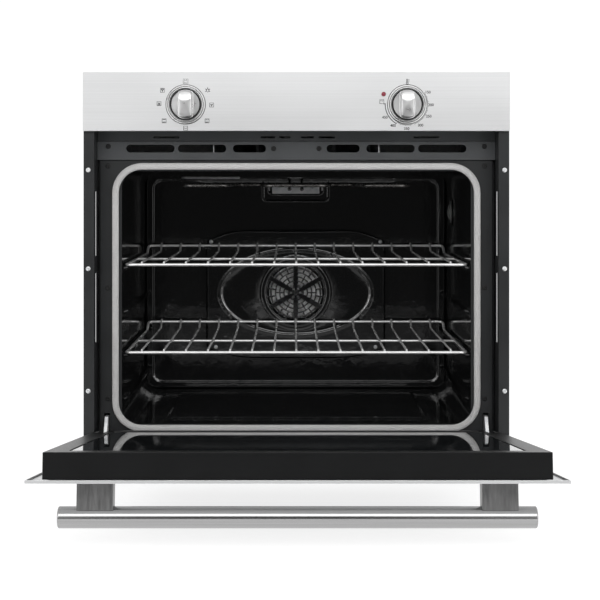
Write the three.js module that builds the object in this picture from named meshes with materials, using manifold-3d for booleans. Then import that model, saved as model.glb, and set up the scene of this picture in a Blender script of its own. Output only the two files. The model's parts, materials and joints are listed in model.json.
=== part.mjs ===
// A 30 inch built-in wall oven with its door standing open: millimetres, +Z up, front towards -Y.
// Pieces are drawn with y = 0 on the front of the mounting flanges and z = 0 under the base.
// The root group then moves them so that the origin is the middle of the base's underside.
import * as THREE from "three";
import { mergeVertices } from "three/addons/utils/BufferGeometryUtils.js";
import Module from "manifold-3d";

const wasm = await Module();
wasm.setup();

// ---- Driving dimensions -------------------------------------------------------------------
const GAP = 0.3; // clearance between pieces that rest on each other
const SHEET = 1.5; // folded sheet thickness
const HALF_WIDTH = 378; // control panel, door skin and flanges
const HEIGHT = 716; // base to top of the control panel
const BODY_HALF = 360.5; // box that goes into the cabinet
const BODY_TOP = 700;
const BODY_BACK = 578.5;
const BASE_FRONT = 45;
const ORIGIN_Y = (BASE_FRONT + BODY_BACK) / 2;

const PANEL_BOTTOM = 611.5;
const PANEL_FRONT = -9;
const KNOB_X = 196;
const KNOB_Z = 658.5;
const PILOT_X = 154.3;
const PILOT_Z = 676.7;

const FRAME_Y = 42; // plane of the recessed front frame
const FRAME_HALF = 354;
const FRAME_TOP = 560.3;
const MOUTH_HALF = 315; // cavity mouth in the frame
const MOUTH_LOW = 84;
const MOUTH_HIGH = 540.9;

const CAVITY_HALF = 317; // inside of the cavity liner
const CAVITY_LOW = 83.6;
const CAVITY_HIGH = 541.4;
const CAVITY_BACK = 487.3;
const RACK_LEVELS = [131.5, 211.2, 291, 370.7];
const RACK_HALF = 309;
const RACK_FRONT = 60;
const RACK_REAR = 458;
const UPPER_LEVEL = 3; // index into RACK_LEVELS
const LOWER_LEVEL = 1;

const FAN_Z = 287.3; // axis of the convection fan
const BAFFLE_FRONT = 469;
const LAMP = { y: 381, z: 459 };

const PIVOT_Z = 44; // door hinge axis, on y = 0
const DOOR_OPEN = THREE.MathUtils.degToRad(83);
const SKIN_FRONT = -7;
const DOOR_BACK = 35.7;
const DOOR_HALF = 354.5;
const DOOR_LOW = 42;
const DOOR_HIGH = 602.6;
const DOOR_BORDER = 32;
const HINGE_X = 341.5;
const PIN_R = 3;
const EYE_R = 5.2; // round the pin, inside the skin's sweep
const BAR = { r: 15.5, half: 341, y: -60, z: 538.4 };

// ---- Shape helpers ------------------------------------------------------------------------
// The solid that a closed three.js geometry encloses, whichever way its faces were wound.
function solid(geometry) {
  const g = geometry.clone();
  g.deleteAttribute("normal");
  g.deleteAttribute("uv");
  const merged = mergeVertices(g, 1e-4);
  const index = merged.index.array;
  const kept = [];
  for (let i = 0; i < index.length; i += 3) {
    const [a, b, c] = index.slice(i, i + 3);
    if (a !== b && b !== c && a !== c) kept.push(a, b, c);
  }
  const build = (tris) =>
    new wasm.Manifold(
      new wasm.Mesh({
        numProp: 3,
        vertProperties: new Float32Array(merged.attributes.position.array),
        triVerts: new Uint32Array(tris),
      }),
    );
  const made = build(kept);
  return made.volume() < 0 ? build(kept.reverse()) : made;
}

// A block between two limits on each axis.
function block([x0, x1], [y0, y1], [z0, z1]) {
  const g = new THREE.BoxGeometry(x1 - x0, y1 - y0, z1 - z0);
  return solid(g.translate((x0 + x1) / 2, (y0 + y1) / 2, (z0 + z1) / 2));
}

// A shape drawn in (x, z), given thickness from y0 to y1.
function plateY(shape, y0, y1, curveSegments = 5) {
  const g = new THREE.ExtrudeGeometry(shape, {
    depth: y1 - y0,
    bevelEnabled: false,
    curveSegments,
  });
  return solid(g.rotateX(Math.PI / 2).translate(0, y1, 0));
}

// A shape drawn in (y, z), given thickness from x0 to x1.
function plateX(shape, x0, x1, curveSegments = 5) {
  const g = new THREE.ExtrudeGeometry(shape, {
    depth: x1 - x0,
    bevelEnabled: false,
    curveSegments,
  });
  const turn = new THREE.Matrix4().makeBasis(
    new THREE.Vector3(0, 1, 0),
    new THREE.Vector3(0, 0, 1),
    new THREE.Vector3(1, 0, 0),
  );
  return solid(g.applyMatrix4(turn).translate(x0, 0, 0));
}

// A shape drawn in (x, y), given thickness from z0 to z1.
function plateZ(shape, z0, z1, curveSegments = 5) {
  const g = new THREE.ExtrudeGeometry(shape, {
    depth: z1 - z0,
    bevelEnabled: false,
    curveSegments,
  });
  return solid(g.translate(0, 0, z0));
}

// A rectangle with rounded corners, as a shape or as a hole's path.
function roundRect([u0, u1], [v0, v1], r, Kind = THREE.Shape) {
  const s = new Kind();
  s.moveTo(u0 + r, v0);
  s.lineTo(u1 - r, v0);
  s.absarc(u1 - r, v0 + r, r, -Math.PI / 2, 0, false);
  s.lineTo(u1, v1 - r);
  s.absarc(u1 - r, v1 - r, r, 0, Math.PI / 2, false);
  s.lineTo(u0 + r, v1);
  s.absarc(u0 + r, v1 - r, r, Math.PI / 2, Math.PI, false);
  s.lineTo(u0, v0 + r);
  s.absarc(u0 + r, v0 + r, r, Math.PI, 1.5 * Math.PI, false);
  return s;
}

// A polygon through the listed corners.
function polygon(corners) {
  return new THREE.Shape(corners.map(([u, v]) => new THREE.Vector2(u, v)));
}

// A solid of revolution about a line along Y through (x, z); the profile lists [radius, y].
function turned(profile, x, z, sides = 24) {
  const points = profile.map(([r, y]) => new THREE.Vector2(r, y));
  const g = new THREE.LatheGeometry(points, sides);
  return solid(g.translate(x, 0, z));
}

// A round bar along Y.
function barY(r, y0, y1, x, z, sides = 16) {
  const profile = [
    [0, y0],
    [r, y0],
    [r, y1],
    [0, y1],
  ];
  return turned(profile, x, z, sides);
}

// A round bar along Z.
function barZ(r, z0, z1, x, y, sides = 24) {
  const g = new THREE.CylinderGeometry(r, r, z1 - z0, sides);
  return solid(g.rotateX(Math.PI / 2).translate(x, y, (z0 + z1) / 2));
}

// A round bar along X.
function barX(r, x0, x1, y, z, sides = 24) {
  const g = new THREE.CylinderGeometry(r, r, x1 - x0, sides);
  return solid(g.rotateZ(Math.PI / 2).translate((x0 + x1) / 2, y, z));
}

// Rounds the inner corners of a polyline with short arcs.
function bend(points, radius, steps = 3) {
  const p = points.map((q) => new THREE.Vector3(...q));
  const out = [p[0]];
  for (let i = 1; i < p.length - 1; i++) {
    const back = p[i - 1].clone().sub(p[i]);
    const on = p[i + 1].clone().sub(p[i]);
    const r = Math.min(radius, back.length() * 0.45, on.length() * 0.45);
    const a = p[i].clone().add(back.setLength(r));
    const b = p[i].clone().add(on.setLength(r));
    const curve = new THREE.QuadraticBezierCurve3(a, p[i], b);
    out.push(...curve.getPoints(steps));
  }
  out.push(p[p.length - 1]);
  return out;
}

// A wire of even thickness along a polyline, mitred at its corners and capped at its ends.
function wire(points, radius, sides = 6) {
  const way = points.slice(1).map((q, i) => q.clone().sub(points[i]).normalize());
  const up = Math.abs(way[0].z) > 0.9 ? [1, 0, 0] : [0, 0, 1];
  const u = new THREE.Vector3(...up).cross(way[0]).normalize();
  const v = way[0].clone().cross(u);
  const ring = [];
  for (let k = 0; k < sides; k++) {
    const t = ((k + 0.5) / sides) * 2 * Math.PI;
    ring.push(
      points[0]
        .clone()
        .addScaledVector(u, radius * Math.cos(t))
        .addScaledVector(v, radius * Math.sin(t)),
    );
  }
  const rings = [ring];
  for (let i = 1; i < points.length; i++) {
    const along = way[i - 1];
    const normal = along.clone().add(way[i] || along).normalize();
    rings.push(
      rings[i - 1].map((q) => {
        const t = points[i].clone().sub(q).dot(normal) / along.dot(normal);
        return q.clone().addScaledVector(along, t);
      }),
    );
  }
  const verts = rings.flat();
  const tris = [];
  for (let i = 0; i < rings.length - 1; i++)
    for (let k = 0; k < sides; k++) {
      const a = i * sides + k;
      const b = i * sides + ((k + 1) % sides);
      tris.push(a, b, b + sides, a, b + sides, a + sides);
    }
  const last = (rings.length - 1) * sides;
  for (let k = 1; k < sides - 1; k++) {
    tris.push(0, k + 1, k);
    tris.push(last, last + k, last + k + 1);
  }
  const g = new THREE.BufferGeometry().setFromPoints(verts);
  g.setIndex(tris);
  return solid(g);
}

// Straight wire between two points.
const straight = (a, b, r, sides = 6) =>
  wire([new THREE.Vector3(...a), new THREE.Vector3(...b)], r, sides);

const join = (solids) => solids.reduce((a, b) => a.add(b));
const cut = (a, tools) => tools.reduce((s, t) => s.subtract(t), a);
const both = (x) => [-x, x];

// ---- Materials ----------------------------------------------------------------------------
const paint = (color, roughness, metalness) =>
  new THREE.MeshStandardMaterial({ color, roughness, metalness });
const look = {
  steel: paint(0xc9cbcd, 0.32, 0.9),
  chrome: paint(0xdadcde, 0.15, 1.0),
  zinc: paint(0xb8babb, 0.4, 0.9),
  grey: paint(0x4a4b4e, 0.5, 0.3),
  galvanised: paint(0x8f9295, 0.5, 0.8),
  enamel: paint(0x17181b, 0.15, 0.1),
  gasket: paint(0x6f7173, 0.8, 0.0),
  wool: paint(0xd8cfa8, 1.0, 0.0),
  element: paint(0x3c3a3a, 0.6, 0.5),
  plastic: paint(0x1d1d1f, 0.5, 0.0),
  glass: paint(0x202427, 0.05, 0.2),
  lens: paint(0xf2efe4, 0.15, 0.0),
  red: paint(0xb3201d, 0.3, 0.0),
};

// A named mesh made from a solid.
function piece(name, material, made) {
  const m = made.getMesh();
  const g = new THREE.BufferGeometry();
  const xyz = new Float32Array(m.numVert * 3);
  for (let i = 0; i < m.numVert; i++)
    xyz.set(m.vertProperties.subarray(i * m.numProp, i * m.numProp + 3), 3 * i);
  g.setAttribute("position", new THREE.BufferAttribute(xyz, 3));
  g.setIndex(new THREE.BufferAttribute(m.triVerts, 1));
  const flat = g.toNonIndexed();
  flat.computeVertexNormals();
  const mesh = new THREE.Mesh(flat, material);
  mesh.name = name;
  return mesh;
}

// ---- Control panel ------------------------------------------------------------------------
function controlPanel() {
  const outside = block(both(HALF_WIDTH), [PANEL_FRONT, -0.4], [PANEL_BOTTOM, HEIGHT]);
  const inside = block(
    both(HALF_WIDTH - SHEET),
    [PANEL_FRONT + SHEET, 1],
    [PANEL_BOTTOM + SHEET, HEIGHT - SHEET],
  );
  const holes = both(KNOB_X).map((x) => barY(6, -12, 0, x, KNOB_Z));
  const pilot = barY(3.2, -12, 0, PILOT_X, PILOT_Z, 12);
  return cut(outside, [inside, ...holes, pilot]);
}

// The raised ring that a knob sits in.
function bezel(x) {
  const y = PANEL_FRONT - GAP;
  const profile = [
    [28.6, y],
    [28.6, y - 2.6],
    [30.4, y - 3.4],
    [33.2, y - 2.8],
    [35, y - 1],
    [35, y],
    [28.6, y],
  ];
  return turned(profile, x, KNOB_Z, 24);
}

// Domed lens of the pilot lamp with its stem through the panel.
function pilotLens() {
  const y = PANEL_FRONT - GAP;
  const profile = [
    [0, y - 2.2],
    [2, y - 1.9],
    [3.6, y - 0.9],
    [4, y],
    [2.7, y],
    [2.7, 4],
    [0, 4],
  ];
  return turned(profile, PILOT_X, PILOT_Z, 12);
}

// A rotary switch or thermostat behind the panel, bored for the knob's shaft.
function rotaryControl(x, halfX, halfZ, back) {
  const front = PANEL_FRONT + SHEET + GAP;
  const body = block([x - halfX, x + halfX], [front, back], [KNOB_Z - halfZ, KNOB_Z + halfZ]);
  const tabs = [-12, 0, 12].map((d) =>
    block([x + d - 3, x + d + 3], [back - 0.5, back + 8], [KNOB_Z + 8, KNOB_Z + 9.5]),
  );
  return cut(join([body, ...tabs]), [barY(3.6, front - 1, 14, x, KNOB_Z)]);
}

// A knob: round skirt, a bar grip across it, and the shaft into the switch.
function knob(x) {
  const back = PANEL_FRONT - 1.2;
  const skirt = turned(
    [
      [0, back - 5],
      [25.6, back - 5],
      [27.3, back - 3.5],
      [27.3, back],
      [0, back],
    ],
    x,
    KNOB_Z,
    32,
  );
  const front = back - 24;
  const drum = turned(
    [
      [0, front],
      [23, front],
      [25.6, front + 3],
      [25.6, back - 4],
      [0, back - 4],
    ],
    x,
    KNOB_Z,
    32,
  );
  const slab = block([x - 13.3, x + 13.3], [front - 1, back], [KNOB_Z - 30, KNOB_Z + 30]);
  const shaft = barY(3, back - 1, 12, x, KNOB_Z, 12);
  return join([skirt, drum.intersect(slab), shaft]);
}

// ---- Outer box ----------------------------------------------------------------------------
function sidePanel(side) {
  const x = [side * BODY_HALF, side * (BODY_HALF - SHEET)].sort((a, b) => a - b);
  const sheet = block(x, [FRAME_Y + 12.6, BODY_BACK - SHEET - GAP], [1.8, BODY_TOP - 1.8]);
  const vents = [0, 1, 2, 3, 4].map((i) =>
    block([x[0] - 1, x[1] + 1], [300, 420], [600 + 14 * i, 605 + 14 * i]),
  );
  return cut(sheet, vents);
}

function topCover() {
  const sheet = block(both(BODY_HALF), [2, BODY_BACK], [BODY_TOP - SHEET, BODY_TOP]);
  const vents = [0, 1, 2, 3].map((i) =>
    block([-90 + 52 * i, -66 + 52 * i], [520, 560], [BODY_TOP - 3, BODY_TOP + 1]),
  );
  return cut(sheet, vents);
}

function rearCover() {
  const sheet = block(
    both(BODY_HALF),
    [BODY_BACK - SHEET, BODY_BACK],
    [1.8, BODY_TOP - 1.8],
  );
  const louvres = [0, 1, 2, 3, 4].map((i) =>
    block([-70, 70], [BODY_BACK - 3, BODY_BACK + 1], [240 + 18 * i, 246 + 18 * i]),
  );
  const wiring = barY(9, BODY_BACK - 4, BODY_BACK + 1, -250, 610);
  return cut(sheet, [...louvres, wiring]);
}

// The floor of the box, with two upright ribs that carry the cavity.
function basePan() {
  const sheet = block(both(BODY_HALF), [BASE_FRONT, BODY_BACK], [0, SHEET]);
  const ribs = [120, 430].map((y) => block(both(330), [y, y + 3], [1, 57.4]));
  return join([sheet, ...ribs]);
}

// An L-shaped mounting flange: the front leg screws to the cabinet, the back leg has slots.
function flange(side) {
  const inner = side * 359;
  const order = (a, b) => (a < b ? [a, b] : [b, a]);
  const z = [47, BODY_TOP - 1.8];
  const front = block(order(inner, side * HALF_WIDTH), [0, SHEET], z);
  const back = block(order(inner, inner + side * SHEET), [1, FRAME_Y + 12], z);
  const slots = [
    [389, 504],
    [234, 358],
  ].map(([low, high]) =>
    block(order(inner - side, inner + 3 * side), [19, 33], [low, high]),
  );
  const screws = [542.5, 367.3, 150].map((h) => barY(2.4, -1, 3, side * 369.6, h, 8));
  return cut(join([front, back]), [...slots, ...screws]);
}

// The vented strip under the door.
function bottomTrim() {
  const profile = polygon([
    [0, 0],
    [44.7, 0],
    [44.7, SHEET],
    [SHEET, SHEET],
    [SHEET, 32.5],
    [14, 32.5],
    [14, 34],
    [0, 34],
  ]);
  const strip = plateX(profile, -HALF_WIDTH, HALF_WIDTH);
  const vents = [-4, -3, -2, -1, 0, 1, 2, 3, 4].map((i) =>
    block([72 * i - 28, 72 * i + 28], [-1, 3], [12, 20]),
  );
  return cut(strip, vents);
}

// ---- Recessed front -----------------------------------------------------------------------
// The frame round the cavity mouth, folded back at its edges, with a slot for each hinge arm.
function frontFrame() {
  const z = [2, FRAME_TOP];
  const outer = block(both(FRAME_HALF), [FRAME_Y, FRAME_Y + 12], z);
  const hollow = block(
    both(FRAME_HALF - SHEET),
    [FRAME_Y + SHEET, FRAME_Y + 13],
    [z[0] - 1, z[1] - SHEET],
  );
  const wings = [-1, 1].map((s) => {
    const x = [s * (FRAME_HALF - 1), s * 358.6].sort((a, b) => a - b);
    return block(x, [FRAME_Y + 12 - SHEET, FRAME_Y + 12], z);
  });
  const mouth = roundRect(both(MOUTH_HALF), [MOUTH_LOW, MOUTH_HIGH], 28);
  const opening = plateY(mouth, FRAME_Y - 1, FRAME_Y + 3);
  const arms = [-1, 1].map((s) =>
    block([s * HINGE_X - 5, s * HINGE_X + 5], [FRAME_Y - 1, FRAME_Y + 3], [66, 104]),
  );
  return cut(join([cut(outer, [hollow]), ...wings]), [opening, ...arms]);
}

// The panel above the frame, with six long slots for the cooling air.
function ventPanel() {
  const face = roundRect(both(358.5), [561, 593.8], 0.5);
  for (const [x, half] of [
    [263, 43.5],
    [169.7, 43.5],
    [84.3, 29.75],
  ])
    for (const s of [-1, 1])
      face.holes.push(
        roundRect([s * x - half, s * x + half], [574.3, 588.3], 6.9, THREE.Path),
      );
  const sheet = plateY(face, 38, 38 + SHEET, 3);
  const fold = block(both(358.5), [38, FRAME_Y + 5], [592.3, 593.8]);
  return join([sheet, fold]);
}

// The slotted strip that closes the gap between the vent panel and the control panel.
function upperVentStrip() {
  const sheet = block(both(358.5), [FRAME_Y + 1, FRAME_Y + 2.5], [594.1, 640]);
  const slots = [
    [-258, -212],
    [-64, -38],
    [-32, -11],
    [9, 31],
    [40, 69],
    [212, 258],
  ].map((x) => block(x, [FRAME_Y, FRAME_Y + 4], [600, 603.6]));
  return cut(sheet, slots);
}

// ---- Cavity -------------------------------------------------------------------------------
// The enamelled tube of the cavity, with a shelf ledge on each side at every rack level.
function cavityLiner() {
  const skin = 1.4;
  const y = [FRAME_Y + SHEET + GAP, CAVITY_BACK - GAP];
  const outside = roundRect(
    both(CAVITY_HALF + skin),
    [CAVITY_LOW - skin, CAVITY_HIGH + skin],
    30,
  );
  outside.holes.push(
    roundRect(both(CAVITY_HALF), [CAVITY_LOW, CAVITY_HIGH], 28.6, THREE.Path),
  );
  const ledges = RACK_LEVELS.flatMap((z) =>
    [-1, 1].map((s) => {
      const low = z - 14.5;
      const rib = polygon([
        [s * (CAVITY_HALF + 0.7), low],
        [s * (CAVITY_HALF - 5), low + 1],
        [s * 305, low + 7],
        [s * 305, z - 3.1],
        [s * (CAVITY_HALF + 0.7), z - 3.1],
      ]);
      return plateY(rib, 66, 462);
    }),
  );
  const lampHole = barX(27, 300, 330, LAMP.y, LAMP.z);
  return cut(join([plateY(outside, ...y), ...ledges]), [lampHole]);
}

// The back wall: a plate with a raised border, bored for the fan shaft and the elements.
function cavityBack() {
  const plate = roundRect(both(330), [66, 556], 12);
  const border = roundRect(both(CAVITY_HALF - 0.4), [CAVITY_LOW + 0.4, CAVITY_HIGH - 0.4], 28);
  border.holes.push(roundRect(both(301), [98.3, 524], 18, THREE.Path));
  const wall = join([
    plateY(plate, CAVITY_BACK, CAVITY_BACK + SHEET),
    plateY(border, CAVITY_BACK - 2.6, CAVITY_BACK + 0.5),
  ]);
  const through = (r, x, z) => barY(r, CAVITY_BACK - 5, CAVITY_BACK + 4, x, z, 8);
  return cut(wall, [
    through(9, 0, FAN_Z),
    ...both(13).map((x) => through(5, x, 505)),
    ...both(13).map((x) => through(5, x, FAN_Z + 68)),
    ...both(20).map((x) => through(5, x, 73)),
    through(4, -240, 529),
  ]);
}

function doorGasket() {
  const y = [36, FRAME_Y - GAP];
  const outer = roundRect(both(332), [71.3, 555.3], 54);
  outer.holes.push(roundRect(both(320), [83.3, 543.3], 42, THREE.Path));
  return plateY(outer, ...y, 6);
}

function insulation() {
  const outer = block(both(332), [56, 484], [57.8, 559.9]);
  const inner = block(both(319.6), [55, 485], [67, 544]);
  const lamp = barX(36, 318, 340, LAMP.y, LAMP.z);
  return cut(outer, [inner, lamp]);
}

// The stamped cover over the fan and its ring element, open at its centre and at its ends.
function fanBaffle() {
  const outline = (inset) =>
    polygon([
      [-134 + inset, 420.3 - inset],
      [-190 + inset, 398 - inset],
      [-190 + inset, 168 + inset],
      [-120 + inset, 147.3 + inset],
      [120 - inset, 147.3 + inset],
      [190 - inset, 168 + inset],
      [190 - inset, 398 - inset],
      [134 - inset, 420.3 - inset],
    ]);
  const back = CAVITY_BACK - GAP;
  const pan = cut(plateY(outline(0), BAFFLE_FRONT, back), [
    plateY(outline(1.4), BAFFLE_FRONT + 1.4, back + 1),
  ]);
  const groove = new THREE.Shape();
  groove.absellipse(0, FAN_Z, 161, 92, 0, 2 * Math.PI, false);
  const inner = new THREE.Path();
  inner.absellipse(0, FAN_Z, 155, 87, 0, 2 * Math.PI, false);
  groove.holes.push(inner);
  const rim = plateY(groove, BAFFLE_FRONT - 1.2, BAFFLE_FRONT + 0.5, 16);
  const prongs = [-74, 0, 74].flatMap((x) =>
    [
      [398, 414],
      [153, 170],
    ].map((z) => block([x - 3, x + 3], [BAFFLE_FRONT - 2, BAFFLE_FRONT + 3], z)),
  );
  const sides = [-1, 1].map((s) =>
    block([s * 190 - 4, s * 190 + 4], [BAFFLE_FRONT + 5, back + 1], [200, 370]),
  );
  const centre = barY(63, BAFFLE_FRONT - 3, BAFFLE_FRONT + 4, 0, FAN_Z, 24);
  return cut(join([pan, rim]), [...prongs, ...sides, centre]);
}

// The round guard in the middle of the baffle: rings of arc slots between six spokes.
function fanGrille() {
  const face = new THREE.Shape();
  for (let i = 0; i < 24; i++) {
    const a = (i / 24) * 2 * Math.PI;
    if (i) face.lineTo(76 * Math.cos(a), 76 * Math.sin(a));
    else face.moveTo(76, 0);
  }
  face.closePath();
  const slotAt = (mid, half, low, high) => {
    const path = new THREE.Path();
    const at = (r, a) => [r * Math.cos(a), r * Math.sin(a)];
    path.moveTo(...at(high, mid - half));
    path.lineTo(...at(high, mid + half));
    path.lineTo(...at(low, mid + half));
    path.lineTo(...at(low, mid - half));
    path.closePath();
    return path;
  };
  const rings = [
    [20, 1],
    [29, 2],
    [38, 2],
    [47, 3],
    [57, 3],
  ];
  for (const [r, count] of rings)
    for (let sector = 0; sector < 6; sector++)
      for (let i = 0; i < count; i++) {
        const span = Math.PI / 3 - 7 / r;
        const start = Math.PI / 6 + (sector * Math.PI) / 3 + 3.5 / r;
        const mid = start + (span * (i + 0.5)) / count;
        face.holes.push(slotAt(mid, span / count / 2 - 1.6 / r, r - 3, r + 3));
      }
  for (let i = 0; i < 6; i++) {
    const a = (i / 6) * 2 * Math.PI;
    const hole = new THREE.Path();
    hole.absarc(9.6 * Math.cos(a), 9.6 * Math.sin(a), 2.2, 0, 2 * Math.PI, false);
    face.holes.push(hole);
  }
  const disc = plateY(face, BAFFLE_FRONT - 2.9, BAFFLE_FRONT - 1.6, 6).translate([0, 0, FAN_Z]);
  const y = BAFFLE_FRONT;
  const rim = turned(
    [
      [61.5, y - 2.4],
      [66, y - 4.2],
      [76, y - 3],
      [76, y - 1.6],
      [61.5, y - 1.6],
      [61.5, y - 2.4],
    ],
    0,
    FAN_Z,
    24,
  );
  return join([disc, rim]);
}

// Fan rotor: a back disc with twelve straight blades, a hub and the motor shaft.
function convectionFan() {
  const front = BAFFLE_FRONT + 4;
  const disc = barY(56, 482.4, 483.8, 0, FAN_Z, 32);
  const hub = barY(9, front - 1, 483.8, 0, FAN_Z, 16);
  const shaft = barY(4, 480, 520, 0, FAN_Z, 12);
  const blades = [];
  for (let i = 0; i < 12; i++) {
    const blade = block([20, 55], [front, 482.8], [-0.8, 0.8]);
    blades.push(blade.rotate([0, (i * 360) / 12 + 10, 0]).translate([0, 0, FAN_Z]));
  }
  return join([disc, hub, shaft, ...blades]);
}

// Ring element round the fan, with both legs through the back wall.
function convectionElement() {
  const r = 68;
  const y = 478;
  const path = [
    [-13, 498, FAN_Z + r],
    [-13, y, FAN_Z + r],
  ];
  for (let i = 1; i < 24; i++) {
    const a = Math.PI / 2 + (i / 24) * 2 * Math.PI;
    path.push([r * Math.cos(a), y, FAN_Z + r * Math.sin(a)]);
  }
  path.push([13, y, FAN_Z + r], [13, 498, FAN_Z + r]);
  return wire(
    path.map((q) => new THREE.Vector3(...q)),
    3.2,
    8,
  );
}

// Motor behind the back wall on a strap that bolts to it.
function convectionMotor() {
  const strap = block([-60, 60], [CAVITY_BACK + 2, CAVITY_BACK + 4], [FAN_Z - 14, FAN_Z + 14]);
  const can = barY(36, CAVITY_BACK + 3.5, 556, 0, FAN_Z, 24);
  const bore = barY(4.6, CAVITY_BACK, 524, 0, FAN_Z, 12);
  return cut(join([strap, can]), [bore]);
}

// Mounting plate of the top element on the back wall.
function broilBracket() {
  const plate = roundRect(both(50), [495.3, 514.8], 2);
  for (const x of both(13)) {
    const hole = new THREE.Path();
    hole.absarc(x, 505, 4.4, 0, 2 * Math.PI, false);
    plate.holes.push(hole);
  }
  return plateY(plate, CAVITY_BACK - 4.6, CAVITY_BACK - GAP, 4);
}

// A folded heating rod, mirrored about x = 0 and joined in the middle.
function element(half, radius, sides) {
  const right = wire(bend(half, 16, 3), radius, sides);
  const mirrored = half.map(([x, y, z]) => [-x, y, z]);
  return join([right, wire(bend(mirrored, 16, 3), radius, sides)]);
}

function broilElement() {
  const z = 514.5;
  return element(
    [
      [-0.5, 118, z],
      [60, 118, z],
      [60, 410, z],
      [125, 410, z],
      [125, 118, z],
      [210, 118, z],
      [210, 448, z],
      [13, 448, z],
      [13, 462, 505],
      [13, 500, 505],
    ],
    3.2,
    6,
  );
}

function bakeElement() {
  return element(
    [
      [-0.5, 90, 74],
      [240, 90, 74],
      [240, 380, 74],
      [120, 380, 74],
      [120, 180, 74],
      [20, 180, 74],
      [20, 500, 74],
    ],
    3.2,
    6,
  );
}

// ---- Lamp and probe -----------------------------------------------------------------------
// A solid of revolution about a line along X; the profile lists [radius, x].
function turnedX(profile, y, z, sides = 20) {
  const points = profile.map(([r, x]) => new THREE.Vector2(r, x));
  const g = new THREE.LatheGeometry(points, sides);
  return solid(g.rotateZ(-Math.PI / 2).translate(0, y, z));
}

function lampHousing() {
  const profile = [
    [0, 352],
    [24, 352],
    [24, 318.8],
    [34, 318.8],
    [34, 320.2],
    [25.4, 320.2],
    [25.4, 353.4],
    [0, 353.4],
  ];
  return turnedX(profile, LAMP.y, LAMP.z);
}

function lampLens() {
  const profile = [
    [0, 309.5],
    [12, 310.6],
    [20, 314],
    [23, 318],
    [23, 322],
    [20, 322],
    [17, 317],
    [11, 314],
    [0, 313],
  ];
  return turnedX(profile, LAMP.y, LAMP.z);
}

function lampBulb() {
  const profile = [
    [0, 318],
    [7, 320],
    [11, 326],
    [9, 334],
    [7, 338],
    [7, 351.6],
    [0, 351.6],
  ];
  return turnedX(profile, LAMP.y, LAMP.z, 12);
}

// Sensing bulb of the thermostat, held close under the ceiling at the back.
function temperatureProbe() {
  const rod = bend(
    [
      [-240, 500, 529],
      [-240, 474, 529],
      [-120, 474, 529],
    ],
    8,
    3,
  );
  return wire(rod, 2.6, 8);
}

// ---- Cooling air and wiring ---------------------------------------------------------------
function airDuct() {
  const z = [560.3, 640];
  const outer = block(both(150), [47.3, 330], z);
  const inner = block(both(148.6), [45, 331], [z[0] + 1.4, z[1] - 1.4]);
  return cut(outer, [inner]);
}

// Scroll housing behind the duct: open towards it, with the air inlet and motor on top.
function coolingFanHousing() {
  const z = [560.3, 640];
  const shape = new THREE.Shape();
  shape.moveTo(-150, 330.4);
  shape.lineTo(150, 330.4);
  shape.lineTo(112, 440);
  shape.absarc(0, 440, 112, 0, Math.PI, false);
  shape.closePath();
  const hollow = new THREE.Shape();
  hollow.moveTo(-148, 329);
  hollow.lineTo(148, 329);
  hollow.lineTo(110.6, 440);
  hollow.absarc(0, 440, 110.6, 0, Math.PI, false);
  hollow.closePath();
  const shell = cut(plateZ(shape, ...z, 14), [plateZ(hollow, z[0] + 1.4, z[1] - 1.4, 14)]);
  return cut(shell, [barZ(60, 630, 650, 0, 440, 32)]);
}

function coolingFanWheel() {
  const axis = [0, 440];
  const disc = barZ(84, 568, 569.4, ...axis, 32);
  const hub = barZ(12, 568, 600, ...axis, 16);
  const shaft = barZ(4, 595, 655, ...axis, 12);
  const blades = [];
  for (let i = 0; i < 16; i++) {
    const blade = block([66, 83], [-0.7, 0.7], [569, 626]);
    blades.push(blade.rotate([0, 0, (i * 360) / 16]).translate([...axis, 0]));
  }
  return join([disc, hub, shaft, ...blades]);
}

// Motor on a three-legged bridge over the inlet.
function coolingFanMotor() {
  const can = barZ(34, 650, 692, 0, 440, 24);
  const bridge = block([-78, 78], [430, 450], [645, 651]);
  const feet = [-1, 1].map((s) =>
    block([s * 75 - 3, s * 75 + 3], [430, 450], [640.3, 646]),
  );
  return cut(join([can, bridge, ...feet]), [barZ(4.6, 640, 660, 0, 440, 12)]);
}

// Supply terminals behind the rear cover's opening, and the box that covers them.
function terminalBlock() {
  const y = BODY_BACK + GAP;
  const base = block([-285, -215], [y, y + 10], [595, 625]);
  const towers = [-275, -258, -242, -225].map((x) =>
    block([x - 3, x + 3], [y + 9, y + 16], [598, 622]),
  );
  return cut(join([base, ...towers]), [barY(7, y - 1, y + 4, -250, 610, 12)]);
}

function terminalCover() {
  const y = BODY_BACK + GAP;
  const outer = block([-300, -200], [y, y + 24], [575, 645]);
  const inner = block([-298.5, -201.5], [y - 1, y + 22.5], [576.5, 643.5]);
  const entry = barZ(9, 570, 580, -250, y + 12, 20);
  return cut(outer, [inner, entry]);
}

// ---- Door hinges --------------------------------------------------------------------------
// The pocket behind the frame that an arm hooks into.
function hingeReceiver(side) {
  const x = side * HINGE_X;
  const outer = block([x - 7.5, x + 7.5], [FRAME_Y + SHEET + GAP, 140], [58, 112]);
  const inner = block([x - 6, x + 6], [FRAME_Y, 138], [60, 110]);
  return cut(outer, [inner]);
}

// The fixed arm: claws in the receiver, and an eye round the pivot pin.
function hingeArm(side) {
  const x = side * HINGE_X;
  const profile = polygon([
    [1, 40],
    [12, 46],
    [24, 60],
    [38, 72],
    [80, 70],
    [96, 78],
    [96, 92],
    [52, 92],
    [50, 99],
    [34, 99],
    [26, 88],
    [1, 48],
  ]);
  const eye = barX(EYE_R, x - 3, x + 3, 0, PIVOT_Z, 24);
  const hole = barX(PIN_R + 0.3, x - 5, x + 5, 0, PIVOT_Z, 24);
  return cut(join([plateX(profile, x - 3, x + 3), eye]), [hole]);
}

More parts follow.
